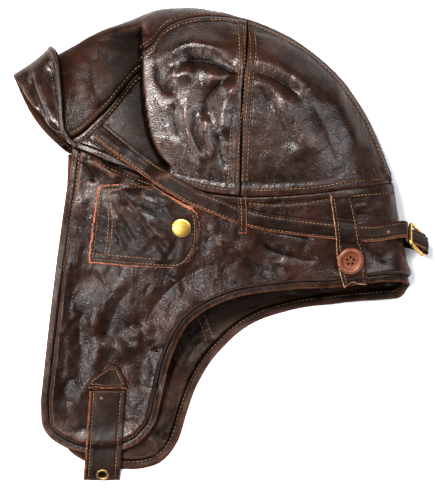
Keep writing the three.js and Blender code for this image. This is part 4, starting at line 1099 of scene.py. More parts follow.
def wall(name, side, grid, flip, borders, node, amount, seed):
    """A wall of leather. borders tells what its first and last row and first and last column are,
    amount how crumpled it is."""
    normals = grid_normals(grid, flip)
    distances = list(edge_distance(grid))
    kinds = list(borders)
    if kinds[0] == "hem":
        distances[0] = distances[3] = hem_distance(grid)
        kinds[0] = None
    slack = np.full(grid.shape[:2], float(amount))
    rise = np.zeros(grid.shape[:2])
    wear = np.zeros(grid.shape[:2])
    to_row = tree_distance(ROW_TREES[side], grid)
    # Painted shade: darker along the sunken stitch rows, and in the hollow in front of the tuck and beside
    # it.
    painted_shade = np.clip(0.6 * bell(to_row, 1.3) + 1.1 * fold_shade(side, grid), 0, 1)
    for k, (d, kind) in enumerate(zip(distances, kinds)):
        if kind is None:
            continue
        along = distances[2] if k < 2 else distances[0]
        rise += PROFILES[kind](d)
        slack *= 0.12 + 0.88 * ease((d - 2) / CALM[kind])
        gather = GATHER(along / 4.2 + 37 * k + 11 * seed) + 0.6 * GATHER(along / 1.9 + 80 * k + seed)
        rise += 0.32 * amount * gather * ease((d - 3) / 4) * fading(d, 7, 9)
        wear = np.maximum(wear, EDGE_WEAR[kind] * bell(d, 1.3))
        # Painted shade in the edge's groove.
        if kind in GROOVE_SHADE:
            shade_at, shade_width = GROOVE_SHADE[kind]
            painted_shade = np.maximum(painted_shade, bell(d, shade_width, shade_at))
    rise += slack * crumple(side, grid[..., 0], grid[..., 1])
    rise -= 0.35 * bell(to_row, 0.8)
    outer = grid + normals * rise[..., None]
    if side == "right" or name.endswith("band"):
        outer[..., 2] = np.maximum(outer[..., 2], ABOVE_FLOOR)
    rims = [kind in ("hem", "rim") for kind in borders]
    face = {"middle_band": BAND_LEATHER, "front_panel_left": FRONT_LEATHER}.get(name, LEATHER)
    piece = shell(name, outer, WALL, [face, INNER_LEATHER, DARK_EDGE, HEM_EDGE], flip,
                  {"wear": wear, "painted_shade": painted_shade}, rims, 0.5,
                  inner_push=inner_push(side, grid, kinds, distances))
    belongs(piece, node)


# Stitch rows of the walls, as lines in space

def over_left(path):
    """A row on the upper wall, given by its path seen from above."""
    line = resample(smooth_path(path, 60), 1.0)
    return np.column_stack([line[:, :2], left_height(line[:, 0], line[:, 1])])


def band_row(column, way, first, last):
    """A row beside one of the middle band's seams."""
    s = np.linspace(first, last, 220)
    across = rib(column, s)
    step = 0.01
    speed = np.linalg.norm(crown_point(s, across + step) - crown_point(s, across - step), axis=1) / (2 * step)
    return crown_point(s, across + way * SEAM_ROW / speed)


def hem_row(side, inset, inner=False):
    """A row along the front edge and the hem of a side."""
    down = np.linspace(0.02, 1, 70)
    s = np.linspace(0, 1, 260)[1:]
    edge = np.concatenate([side_point(side, np.zeros(70), down), side_point(side, s, np.ones(259))])
    flat = resample(offset_path(resample(edge[:, :2], 2.0), inset), ROW_SPACING)
    surface = left_height if side == "left" else right_height
    return np.column_stack([flat, surface(flat[:, 0], flat[:, 1]) + (INNER_FACE if inner else 0)])


# Rows of the upper wall, seen from above.
LEFT_ROWS = dict(
    crown_hem_front=[(-100.8, 81.7), (-88, 73.6), (-75.9, 65.8), (-60, 58.5), (-44, 53.6), (-27.1, 50),
                     (-16.3, 46.5), (1.6, 42.9), (15, 42)],
    crown_hem_rear=[(23, 41.8), (38, 41.6), (56.6, 42.6), (83.9, 45.2), (95.6, 47.6), (130.7, 50.7)],
    side_top_front=[(-92.4, 62.8), (-81.5, 57.3), (-72.5, 53.8), (-61, 49.4), (-46, 43.6)],
    side_top_rear=[(23.8, 31.2), (38, 30.4), (56.6, 30.4), (83.9, 34.3), (99.5, 36.7), (136.1, 39.8)],
    coronal_left=[(16, 172.6), (17.2, 141.3), (14.8, 115), (10.5, 88.9), (9, 61.6), (7.4, 44.5)],
    coronal_right=[(27.3, 170.6), (30, 150.9), (27.9, 132.9), (26.1, 109.2), (23.8, 73.3), (22.6, 46)],
    coronal_left_close=[(19.9, 172.6), (21.3, 141.3), (20.6, 115), (17.5, 88.9), (15.6, 61.6), (14.9, 44.5)],
    coronal_right_close=[(24.0, 172.6), (25.6, 150.9), (24.6, 132.9), (22.6, 109.2), (20.0, 73.3),
                         (19.0, 46)],
)

# The cross seam inside the far flap, and the thread that hangs loose beside it.
CROSS_SEAM = dict(
    cross_seam=[(-10.5, -55), (-6.5, -64), (-3.5, -74)],
    cross_seam_2=[(-15.5, -58), (-11.5, -67), (-8.5, -78)],
)
LOOSE_THREAD = [(-11, -69), (-3, -65)]


def inside_right(path):
    """A straight-sided path laid on the inner face of the lower wall."""
    line = resample(np.array(path, float), 1.0)
    return np.column_stack([line, right_height(line[:, 0], line[:, 1]) + INNER_FACE])


def build_rows():
    """Rows by name: side, line, and whether it is sewn on the inner face."""
    rows = {name: ("left", over_left(path), False) for name, path in LEFT_ROWS.items()}
    rows["hem_left"] = ("left", hem_row("left", HEM_ROW), False)
    rows["hem_right"] = ("right", hem_row("right", HEM_ROW), False)
    rows["hem_right_inner"] = ("right", hem_row("right", INNER_ROW, True), True)
    for side, column, sign in (("left", "bandLeft", -1), ("right", "bandRight", 1)):
        for name, way in (("outer", sign), ("inner", -sign)):
            rows[f"band_{side}_{name}_front"] = (side, band_row(column, way, 0.012, 0.492), False)
            rows[f"band_{side}_{name}_rear"] = (side, band_row(column, way, 0.508, 0.975), False)
    for part, side, middle, first, last, count in (("under", "right", CORONAL, 1.42, 1.97, 80),
                                                   ("top", "left", CORONAL + 0.004, 0.9, 1.36, 60)):
        across = np.linspace(first, last, count)
        for name, shift in (("front", -BESIDE_CORONAL), ("rear", BESIDE_CORONAL)):
            rows[f"coronal_{part}_{name}"] = (side, crown_point(middle + shift + 0 * across, across), False)
    across = np.linspace(1.2, 1.96, 90)
    rows["far_rim_inner"] = ("right", crown_point(np.full(90, 0.024), across) + [0, 0, INNER_FACE], True)
    for name, path in CROSS_SEAM.items():
        rows[name] = ("right", inside_right(path), True)
    s = np.linspace(0.02, 0.97, 200)
    rows["crown_hem_under"] = ("right", crown_point(s, np.full(200, 1.95)), False)
    return rows


ROWS = build_rows()


def row_tree(side):
    """The outer stitch rows of a side, to be found by place."""
    rows = [resample(line, 0.8) for where, line, inner in ROWS.values() if where == side and not inner]
    return point_tree(np.concatenate(rows))


ROW_TREES = {side: row_tree(side) for side in UP}


# The walls

def before_coronal(across):
    return coronal(across) - HALF_GAP


def after_coronal(across):
    return coronal(across) + HALF_GAP


def build_band():
    s = np.linspace(HALF_GAP, CROWN_END, 290)[:, None]
    t = np.linspace(0, 1, 84)[None, :]
    s, t = np.broadcast_arrays(s, t)
    across = flat_call(band_edge("bandLeft", 1), s) * (1 - t) + flat_call(band_edge("bandRight", -1), s) * t
    grid = flat_call(crown_point, s, across)
    wall("middle_band", "left", grid, False, ("rim", None, "seam", "seam"), "crown_band", 0.7, 1)


def build_panels():
    """The front and rear panels of the crown."""
    start, end = level(HALF_GAP), level(CROWN_END)
    sides = {
        "left": (level(0.0022), band_edge("bandLeft", -1), ("lap", "seam"), 0.55),
        "right": (band_edge("bandRight", 1), level(1.9975), ("seam", "lap"), 0.35),
    }
    panels = (("front", "left", 176, 116), ("rear", "left", 140, 104),
              ("front", "right", 90, 60), ("rear", "right", 80, 60))
    for seed, (part, side, n, m) in enumerate(panels, 2):
        low, high, across_borders, amount = sides[side]
        if part == "front":
            grid = crown_grid(start, before_coronal, low, high, n, m)
            borders = ("rim", "seam", *across_borders)
        else:
            grid = crown_grid(after_coronal, end, low, high, n, m)
            borders = ("seam", None, *across_borders)
        wall(f"{part}_panel_{side}", side, grid, False, borders, f"crown_{part}_{side}", amount, seed)


def build_sides():
    """The sides with their ear flaps."""
    for side, n, m, amount in (("left", 236, 160, 1.0), ("right", 170, 112, 0.4)):
        s = np.linspace(0, 1, n)[:, None]
        down = 0.0035 + 0.9965 * np.linspace(0, 1, m)[None, :]
        grid = flat_call(functools.partial(side_point, side), s, down)
        borders = ("hem", "seam", "under", "hem")
        wall(f"side_panel_{side}", side, grid, side == "left", borders, f"side_{side}", amount, 6)


# What is laid and sewn on the walls

def lay(side, x, y, lift=0.2, stiff=8):
    """A smooth sheet that lies on what is under each place: the points of its lower face."""
    up = UP[side]
    ground = up * grounds[side].height(x, y)
    top = ground.copy()
    for _ in range(stiff):
        top = np.maximum(blur(top, 2), ground)
    return np.stack([x, y, up * (blur(top, 2) + lift)], -1)


def dress(name, node, side, base, thickness, face, cut_edge, rims, rim_width, torn, rise=0.0):
    """A laid sheet. rims tells which of its first and last row and first and last column show the
    cut edge; a torn edge wavers."""
    base = waver(base, torn)
    normals, flip = facing(base, False, UP[side])
    distances = edge_distance(base)
    lift = np.full(base.shape[:2], float(thickness))
    for d in distances:
        lift -= 0.35 * up_to(d, 0, 1.0)
    lift += rise
    outer = base + normals * lift[..., None]
    wear = 0.4 * bell(np.minimum.reduce(distances), 1.0)
    piece = shell(name, outer, thickness, [face, STRAP_LEATHER, DARK_EDGE, cut_edge], flip,
                  {"wear": wear}, rims, rim_width, inner_push=lift - thickness)
    belongs(piece, node)
    return piece, outer, normals


FRAY = cord_noise(9)
RAYS = cord_noise(21)


def waver(base, amount):
    """Moves the border of a grid in and out a little."""
    over_rows = unit(np.gradient(base, axis=0))
    over_columns = unit(np.gradient(base, axis=1))
    d = edge_distance(base)
    out = base.copy()
    for distance, way, sign, along, seed in ((d[0], over_rows, 1, d[2], 5), (d[1], over_rows, -1, d[2], 95),
                                             (d[2], over_columns, 1, d[0], 185),
                                             (d[3], over_columns, -1, d[0], 275)):
        fray = FRAY(along / 2.4 + seed) + 0.5 * FRAY(along / 0.9 + seed)
        out += way * (sign * amount * fray * bell(distance, 1.2))[..., None]
    return out


def path_grid(path, width, n, m):
    """Places of a band seen from above: its path and its width."""
    line = smooth_path(path, 400)
    steps = lengths(line)
    line = read_at(steps, line, np.linspace(0, steps[-1], n))
    way = unit(np.gradient(line, axis=0))
    off = np.linspace(-width / 2, width / 2, m)
    return line[:, :1] - way[:, 1:] * off, line[:, 1:] + way[:, :1] * off


def patch_grid(edges, n, m):
    """Places of a patch with four smooth edges: bottom and top run from left to right, left and right up."""
    u, v = np.linspace(0, 1, n), np.linspace(0, 1, m)

    def at(name, values):
        line = smooth_path(edges[name], 200)
        steps = lengths(line)
        return read_at(steps, line, values * steps[-1])

    bottom, top, start, end = at("bottom", u), at("top", u), at("left", v), at("right", v)
    u, v = u[:, None, None], v[None, :, None]
    p = bottom[:, None] * (1 - v) + top[:, None] * v + start[None] * (1 - u) + end[None] * u
    p -= (1 - u) * (1 - v) * bottom[0] + u * (1 - v) * bottom[-1] + (1 - u) * v * top[0] + u * v * top[-1]
    return p[..., 0], p[..., 1]


def row_on(side, outer, normals, line, seed, pitch=TRIM_PITCH, sink=0.0):
    """A stitch row on a laid sheet along grid places given as fractions of rows and columns."""
    n, m = outer.shape[:2]
    line = np.asarray(line, float)
    pieces = [np.linspace(a, b, 120)[:-1] for a, b in zip(line[:-1], line[1:])]
    fine = np.concatenate([*pieces, line[-1:]])
    i = np.clip(fine[:, 0] * (n - 1), 0, n - 1.001)
    j = np.clip(fine[:, 1] * (m - 1), 0, m - 1.001)
    a, b = i.astype(int), j.astype(int)
    fi, fj = (i - a)[:, None], (j - b)[:, None]

    def mix(g):
        low = g[a, b] * (1 - fi) + g[a + 1, b] * fi
        high = g[a, b + 1] * (1 - fi) + g[a + 1, b + 1] * fi
        return low * (1 - fj) + high * fj

    sew(f"trim_stitches_{side}", mix(outer) - mix(normals) * sink, mix(normals), pitch, seed)


# Head strap: its path seen from above, and the two bars of the buckle that its tails lie on.
HEAD_STRAP = [(-92.3, 89), (-72.9, 72.8), (-53, 57.8), (-33.2, 44.9), (-15.2, 34.9), (-0.8, 29.4),
              (15.1, 22.8), (34.7, 17.6), (56.6, 14.4), (90.1, 10.4), (112.7, 8.6), (130, 8.2), (137, 8.2)]
STRAP_THICK = 1.9
BAR_RADIUS = 1.4
BAR_NEAR = np.array([150.4, 8.4, 39.0])
BAR_FAR = np.array([161.2, -1.4, 23.0])
ALONG_BAR = unit(np.array([0, 0.853, -0.52]))
TO_FAR = unit(BAR_FAR - BAR_NEAR)
OUT_OF_BUCKLE = unit(np.cross(TO_FAR, ALONG_BAR))
BUCKLE_WIDTH = 18.5
NEAR_TAIL = [(-6.5, 0.4), (0, -1.75), (5, -0.2), (10, 2), (14, 3.6), (17, 4.6)]
LOOP = BAR_RADIUS + GAP + STRAP_THICK

# Points across the strap, rows cut off at its end, and rows before that which bend into the tail.
STRAP_COLUMNS = 17
STRAP_CUT = 14
STRAP_JOIN = 24


def strap_profile(outer):
    """A pressed strap: a little raised between its two stitch rows."""
    d = np.minimum(*edge_distance(outer)[2:])
    return 0.3 * ease((d - 2.2) / 1.4) - 0.25 * bell(d, 0.6, 1.9)


def strap_tail(side):
    """Cross rows of the strap's end: the near one lies on the buckle, the far one goes round its bar."""
    if side == "left":
        middle = [BAR_NEAR + TO_FAR * a + OUT_OF_BUCKLE * b for a, b in NEAR_TAIL]
    else:
        middle = [np.array([148, 3.4, 9.5]), np.array([156.5, 0, 13])]
        for degrees in (90, 45, 0, -45, -90, -135, -170):
            a = math.radians(degrees)
            middle.append(BAR_FAR + TO_FAR * LOOP * math.sin(a) + OUT_OF_BUCKLE * LOOP * math.cos(a))
    off = np.linspace(-STRAP_WIDTH / 2, STRAP_WIDTH / 2, STRAP_COLUMNS)[:, None]
    rows = []
    for k, p in enumerate(middle):
        turned = float(ease(min((k + 1) / 2, 1.0)))
        rows.append(p + off * unit(np.array([0, 1.0, 0]) * (1 - turned) + ALONG_BAR * turned))
    return np.array(rows)


def head_strap(side):
    laid = lay(side, *path_grid(HEAD_STRAP, STRAP_WIDTH, 230, STRAP_COLUMNS))[:-STRAP_CUT]
    up = UP[side]
    laid = laid + facing(laid, False, up)[0] * STRAP_THICK
    tail = strap_tail(side)
    steps = 96 if side == "left" else 150
    columns = []
    for j in range(STRAP_COLUMNS):
        anchors = laid[[-STRAP_JOIN, -STRAP_JOIN // 2, -1], j]
        columns.append(smooth_path(np.vstack([anchors, tail[:, j]]), steps)[1:])
    joined = np.concatenate([laid[:-STRAP_JOIN], np.stack(columns, 1)])
    flip = side == "left"
    normals = grid_normals(joined, flip)
    if normals[:150, :, 2].mean() * up < 0:
        flip = not flip
        normals = -normals
    outer = joined + normals * strap_profile(joined)[..., None]
    wear = 0.35 * bell(np.minimum(*edge_distance(outer)[2:]), 0.9)
    piece = shell(f"strap_round_head_{side}", outer, STRAP_THICK,
                  [STRAP_LEATHER, STRAP_LEATHER, DARK_EDGE, TAN_EDGE], flip,
                  {"wear": wear}, (0, 0, side == "left", 0), 0.25)
    belongs(piece, f"head_strap_{side}")
    lay_on(piece, side)
    last = 0.86 if side == "left" else 0.8
    for part, seed in ((0.15, 3), (0.85, 4)):
        row_on(side, outer, normals, [(0.004, part), (last, part)], seed, sink=0.1)


def keeper(side):
    base = lay(side, *path_grid([(18.6, 36.5), (19.1, 22), (19.4, 8.3)], 7, 44, 13), stiff=4)
    piece, outer, normals = dress(f"strap_loop_{side}", f"strap_keeper_{side}", side, base, 1.8,
                                  STRAP_LEATHER, RED_EDGE, (0, 1, 0, 1), 0.8, 0.15)
    row_on(side, outer, normals, [(0.03, 0.42), (0.97, 0.42)], 5, 2.8)
    lay_on(piece, side)


EAR_COVER = dict(
    bottom=[(-100.6, -14.8), (-66, -17.5), (-33.2, -18.7)],
    top=[(-92.8, 45.2), (-80, 46.5), (-62, 46.8), (-49, 44.5)],
    left=[(-100.6, -14.8), (-97, 16), (-92.8, 45.2)],
    right=[(-33.2, -18.7), (-21.5, -12.5), (-14.4, -0.8), (-13.2, 13), (-16.5, 25), (-30, 33.5), (-49, 44.5)],
)
COVER_CREASES = [
    (2.6, -0.9, [(-84, 42), (-66, 30), (-44, 20)]),
    (2.2, 0.7, [(-80, 44), (-60, 34), (-40, 27)]),
    (2.4, -0.8, [(-86, 36), (-74, 18), (-62, -2)]),
    (2.2, 0.7, [(-84, 30), (-78, 10), (-70, -8)]),
    (2.0, -0.7, [(-74, 40), (-62, 24), (-52, 6)]),
    (2.4, 0.8, [(-70, 42), (-52, 34), (-34, 30)]),
    (2.6, -0.8, [(-50, 8), (-42, -4), (-38, -12)]),
    (3.0, 0.9, [(-58, 20), (-46, 10), (-34, -2)]),
]


def torn_width(x, y):
    """The cut edge's width; it is torn open beside the strap."""
    x, y = x[:-1, :-1], y[:-1, :-1]
    torn = bell(x, 11, -26) * ease((y - 20) / 8)
    return 0.9 + torn * (3.2 + 1.6 * FRAY(x / 1.7 + 7))


def snap_rays(x, y):
    """Fine creases that spread from the press stud, and the pull towards the upper left corner."""
    dx, dy = x - SNAP[0], y - SNAP[1]
    away = np.hypot(dx, dy)
    turn = np.arctan2(dy, dx)
    rays = RAYS(30 + turn * 5.5) + 0.6 * RAYS(90 + turn * 11 + away / 9)
    near = ease((away - 9) / 5) * fading(away, 14, 20)
    pull = RAYS(150 + (dy + 0.42 * dx) / 2.6) * ease((away - 20) / 12)
    return 0.24 * rays * near + 0.14 * pull


def ear_cover(side):
    x, y = patch_grid(EAR_COVER, 96, 78)
    base = lay(side, x, y)
    rise = np.zeros(x.shape)
    for width, height, path in COVER_CREASES:
        away, along, _ = nearest(smooth_path(path, 14), x, y)
        rise += height * bell(away, width) * ease(along / 3) * ease((14 - along) / 3)
    rise += snap_rays(x, y)
    to_edge = np.minimum.reduce(edge_distance(base))
    rise = rise * ease((to_edge - 2) / 5)
    rise -= 0.3 * bell(to_edge, 0.6, 4.0)
    rise += 0.35 * crumple(side, x * 1.6 + 300, y * 1.6)
    piece, outer, normals = dress(f"cover_over_ear_{side}", f"ear_cover_{side}", side, base, 1.9,
                                  COVER_LEATHER, RED_EDGE, (1, 1, 1, 1), torn_width(x, y), 0.45, rise)
    lay_on(piece, side)

    # The stitch rows run along the edges, with a second column and row beside the brow.
    u1, u2 = 0.045, 0.155
    v1, v2 = 0.065, 0.935
    row_on(side, outer, normals, [(u1, v2), (u1, v1), (0.93, v1), (0.945, 0.1), (0.95, 0.9)], 7)
    row_on(side, outer, normals, [(u1, v2), (0.9, v2)], 8)
    row_on(side, outer, normals, [(u2, v2), (u2, v1)], 9)
    row_on(side, outer, normals, [(u2 + 0.04, v2 - 0.01), (u2 + 0.035, v1 + 0.08)], 10)
    row_on(side, outer, normals, [(0.02, v1 + 0.07), (0.74, v1 + 0.075)], 11, 3.2)


def lathe(name, profile, segments, material, place):
    """A turned body with its axis along the given place's Z."""
    turn = np.linspace(0, 2 * math.pi, segments, endpoint=False)
    rings = [np.stack([r * np.cos(turn), r * np.sin(turn), np.full(segments, z)], 1) for r, z in profile]
    points = np.concatenate(rings) @ place[0].T + place[1]
    ids = np.arange(len(profile) * segments).reshape(len(profile), segments)
    low, high = ids[:-1], ids[1:]
    quads = np.stack([low, np.roll(low, -1, 1), np.roll(high, -1, 1), high], -1).reshape(-1, 4).tolist()
    closed = np.allclose(profile[0], profile[-1])
    caps = [] if closed else [ids[0, ::-1].tolist(), ids[-1].tolist()]
    return new_mesh(name, points, quads + caps, [material])


def rounded(profile):
    """A turning profile with its corners smoothed."""
    line = np.asarray(profile, float)
    for _ in range(2):
        a = line[:-1] * 0.75 + line[1:] * 0.25
        b = line[:-1] * 0.25 + line[1:] * 0.75
        line = np.vstack([line[:1], np.stack([a, b], 1).reshape(-1, 2), line[-1:]])
    return line


def place_on(side, x, y, radius, lift):
    """Turning and place of something flat that lies on the ground round x, y."""
    up = UP[side]
    ring = np.linspace(0, 2 * math.pi, 12, endpoint=False)
    px, py = x + radius * np.cos(ring), y + radius * np.sin(ring)
    z = grounds[side].height(px, py)
    design = np.column_stack([px - x, py - y, np.ones(12)])
    gx, gy, middle = np.linalg.lstsq(design, z, rcond=None)[0]
    out = unit(np.array([-gx, -gy, 1.0]) * up)
    top = np.max((z - middle - gx * (px - x) - gy * (py - y)) * up)
    first = unit(np.cross([0, 1.0, 0], out))
    turn = np.stack([first, np.cross(out, first), out], 1)
    return turn, np.array([x, y, middle]) + out * (lift + max(top, 0))


def snap(side):
    """The round cap of the ear cover's press stud."""
    r = 7.6
    profile = [(0.02, 0), (r - 1.0, 0), (r - 0.1, 0.25), (r, 0.7), (r - 0.25, 1.15), (r - 0.9, 1.5),
               (r - 2.2, 1.85), (r - 4.2, 2.15), (r - 6.2, 2.28), (0.02, 2.3)]
    piece = lathe(f"press_stud_{side}", rounded(profile), 72, GOLD, place_on(side, *SNAP, 5.5, 0.15))
    belongs(piece, f"cover_snap_{side}")


TAB = dict(
    bottom=[(98.3, -34.5), (102, -31.5), (106, -30), (110, -31.8), (115.6, -32)],
    top=[(87.2, 38.2), (95, 38.6), (103, 39.2)],
    left=[(98.3, -34.5), (94.3, -20), (92.2, -6), (91.7, 3), (89.3, 22.6), (87.2, 38.2)],
    right=[(115.6, -32), (116.2, -14.8), (114.9, -7), (111.5, 3.1), (107.3, 24), (103, 39.2)],
)


def goggle_tab(side):
    base = lay(side, *patch_grid(TAB, 30, 110), stiff=6)
    d = edge_distance(base)
    edge = np.minimum(d[0], d[1])
    rise = -0.28 * bell(edge, 0.55, 2.6) + 0.35 * ease((edge - 3) / 2) * bell(d[2], 14)
    piece, outer, normals = dress(f"tab_for_goggles_{side}", f"goggle_tab_{side}", side, base, 1.8,
                                  STRAP_LEATHER, PALE_EDGE, (1, 0, 1, 0), 0.6, 0.2, rise)
    lay_on(piece, side)
    row_on(side, outer, normals, [(0.15, 0.03), (0.15, 0.985)], 12)
    row_on(side, outer, normals, [(0.85, 0.03), (0.85, 0.985)], 13)


BUTTON_HOLES = 5


def button(side):
    """A turned wooden button with drilled holes."""
    turn, middle = place_on(side, *BUTTON, 7.0, 0.2)
    r = 10.7
    profile = [(0.02, 0), (r - 2.2, 0), (r - 0.5, 0.9), (r, 2.0), (r - 0.5, 3.3), (r - 1.5, 4.0),
               (r - 2.6, 4.1), (r - 3.6, 3.7), (6.5, 3.1), (6.1, 2.6), (3, 2.45), (0.02, 2.45)]
    body = lathe(f"turned_button_{side}", rounded(profile), 96, WOOD, (turn, middle))
    belongs(body, f"goggle_button_{side}")
    drills = []
    for k in range(BUTTON_HOLES):
        a = k * 2 * math.pi / BUTTON_HOLES + math.pi / 2
        offset = turn @ np.array([2.8 * math.cos(a), 2.8 * math.sin(a), 0])
        drills.append(lathe(f"drill_{k}", [(0.95, -3), (0.95, 8)], 20, WOOD, (turn, middle + offset)))
    cut(body, drills)


def cut(body, drills):
    """Cuts the drills out of the body and removes them."""
    for drill in drills:
        modifier = body.modifiers.new("cut", "BOOLEAN")
        modifier.object = drill
        modifier.solver = "EXACT"
    graph = bpy.context.evaluated_depsgraph_get()
    mesh = bpy.data.meshes.new_from_object(body.evaluated_get(graph))
    body.modifiers.clear()
    old = body.data
    body.data = mesh
    bpy.data.meshes.remove(old)
    for drill in drills:
        data = drill.data
        bpy.data.objects.remove(drill)
        bpy.data.meshes.remove(data)


def buckle():
    """A rounded rectangle bent out of wire, a little flat."""
    along = np.linalg.norm(BAR_FAR - BAR_NEAR) / 2
    across = BUCKLE_WIDTH / 2
    corner = 3.0
    wire = 1.45
    sides = 20
    centre = (BAR_NEAR + BAR_FAR) / 2
    b = np.linspace(0, 2 * math.pi, sides, endpoint=False)[:, None]
    flat = 1.0 + 0.12 * np.cos(2 * b)
    rings = []
    for k in range(4):
        sx = 1 if k in (0, 3) else -1
        sy = 1 if k < 2 else -1
        for turn in np.linspace(0, 1, 9):
            a = (k + turn) * math.pi / 2
            c = centre + TO_FAR * (sx * (along - corner) + corner * math.cos(a))
            c = c + ALONG_BAR * (sy * (across - corner) + corner * math.sin(a))
            outward = TO_FAR * math.cos(a) + ALONG_BAR * math.sin(a)
            rings.append(c + wire * flat * (outward * np.cos(b) + OUT_OF_BUCKLE * np.sin(b)))
    ids = np.arange(len(rings) * sides).reshape(len(rings), sides)
    following = np.roll(ids, -1, 0)
    quads = np.stack([ids, following, np.roll(following, -1, 1), np.roll(ids, -1, 1)], -1)
    piece = new_mesh("buckle", np.concatenate(rings), quads.reshape(-1, 4).tolist(), [BUCKLE_BRASS])
    belongs(piece, "buckle_frame")


# The brim, turned up over the brow

# How far up the crown the brim reaches: places from a side to the top, and the station at each.
PEAK_WAY = [0, 0.11, 0.24, 0.42, 0.64, 0.8, 1]
PEAK_STATION = [0.045, 0.03, 0.052, 0.091, 0.12, 0.126, 0.122]
PEAK_THICK = 2.2
PEAK_STAND = dict(near=6.5, top=2.4, far=1.0)
ROLLED_EDGE = 4.2
PEAK_FOLDS = [
    (4.2, -4.2, [(-131, 142), (-129.0, 128), (-126, 108), (-121.5, 84)]),
    (4.6, 3.4, [(-142, 134), (-138, 118), (-132, 103), (-124.0, 88)]),
    (2.8, -2.6, [(-146, 131), (-144, 122), (-139, 110), (-134, 100)]),
    (3.4, 1.6, [(-152, 128), (-149, 118), (-143, 106)]),
]


def peak_point(across, v):
    """Outer face of the brim: v is 0 at the fold and 1 at its free edge."""
    way = np.where(across <= 1, across, 2 - across)
    s = 0.003 + (through(PEAK_WAY, PEAK_STATION, way) - 0.003) * v
    d = 1e-3
    over = crown_point(s, across + d, False) - crown_point(s, across - d, False)
    up = crown_point(s + d, across, False) - crown_point(np.maximum(s - d, 0), across, False)
    out = unit(np.cross(up, over))
    near, top, far = PEAK_STAND.values()
    stand = near + (top - near) * ease(across - 0.5) + (far - top) * ease(across - 1)
    tip = 1.3 * bell(across, 0.35, 1)
    return crown_point(s, across, False) + out * (0.9 + tip + stand * v + PEAK_THICK)[:, None]


def brim_rise(grid, free):
    """Folds, the rolled free edge and its stitch groove; free is the distance from that edge."""
    x, y, z = np.moveaxis(grid, -1, 0)
    rise = np.zeros(x.shape)
    for width, height, path in PEAK_FOLDS:
        away, along, _ = nearest(smooth_path(path, 14), x, y)
        rise += height * bell(away, width) * ease(0.35 + along / 5)
    rise *= ease((z - 28) / 6) * (0.35 + 0.65 * ease((free - 1) / 6))
    rise += 1.0 * bell(free, 2.0, 2.2) - 0.6 * bell(free, 0.8, INNER_ROW)
    return rise + 0.12 * crumple("left", x, y) * ease((free - 4) / 6)


def brim():
    n, m = 190, 46
    grid = flat_call(peak_point, np.linspace(0.03, 1.97, n)[:, None], np.linspace(0, 1, m)[None, :])
    normals = grid_normals(grid)
    flip = normals[30, 20, 2] < 0
    if flip:
        normals = -normals
    d = edge_distance(grid)
    outer = grid + normals * brim_rise(grid, d[3])[..., None]
    outer[..., 2] = np.maximum(outer[..., 2], ABOVE_FLOOR)
    piece = shell("turned_up_brim", outer, PEAK_THICK, [BRIM_LEATHER, INNER_LEATHER, DARK_EDGE, GREY_LEATHER],
                  flip, {"wear": 0.7 * bell(d[2], 1.6)}, (0, 0, 0, 1), ROLLED_EDGE, bulge=0.8)
    belongs(piece, "peak")
    fraction = 1 - INNER_ROW / np.maximum(d[3][:, 0], 6)
    steps = np.linspace(0.01, 0.99, 80)
    row = np.column_stack([steps, np.interp(steps, np.linspace(0, 1, n), fraction)])
    row_on("left", outer, normals, row, 14)


# Chin strap with its eyelet, and the patch over its root

CHIN = dict(top=-114.6, turn=-160.0, end=-184.0, drop=8.6, width=28.4, top_x=-86.0, end_x=-90.9)
EYELET_Y = -179.6


def punched_mark(name, x, y):
    """A small punched hole in what lies on top, whose cut edge shows pale."""
    ring = [(0.5, -0.4), (0.55, 0.12), (0.8, 0.2), (1.15, 0.08), (1.25, -0.4)]
    belongs(lathe(name, ring, 18, PALE_EDGE, place_on("left", x, y, 1.2, 0.0)))


def eyelet(place):
    """The brass ring in its hole, and a dark disc at the bottom of the hole: painted shade where the floor
    would show through.
    """
    profile = [(3.1, 0.3), (3.05, -1.4), (3.1, -3.4), (5.0, -3.5), (5.2, -3.1), (3.7, -2.9), (3.7, 0.05),
               (5.2, 0.05), (5.25, 0.45), (4.7, 0.95), (3.9, 1.05), (3.4, 0.8), (3.1, 0.3)]
    belongs(lathe("eyelet", profile, 64, OLD_BRASS, place), "chin_eyelet")
    # Painted shade: a dark disc that makes the hole look dark.
    shade_disc = [(0.02, -2.9), (2.85, -2.9), (2.85, -2.5), (0.02, -2.5)]
    belongs(lathe("eyelet_shade_disc", shade_disc, 40, EYELET_SHADE, place))


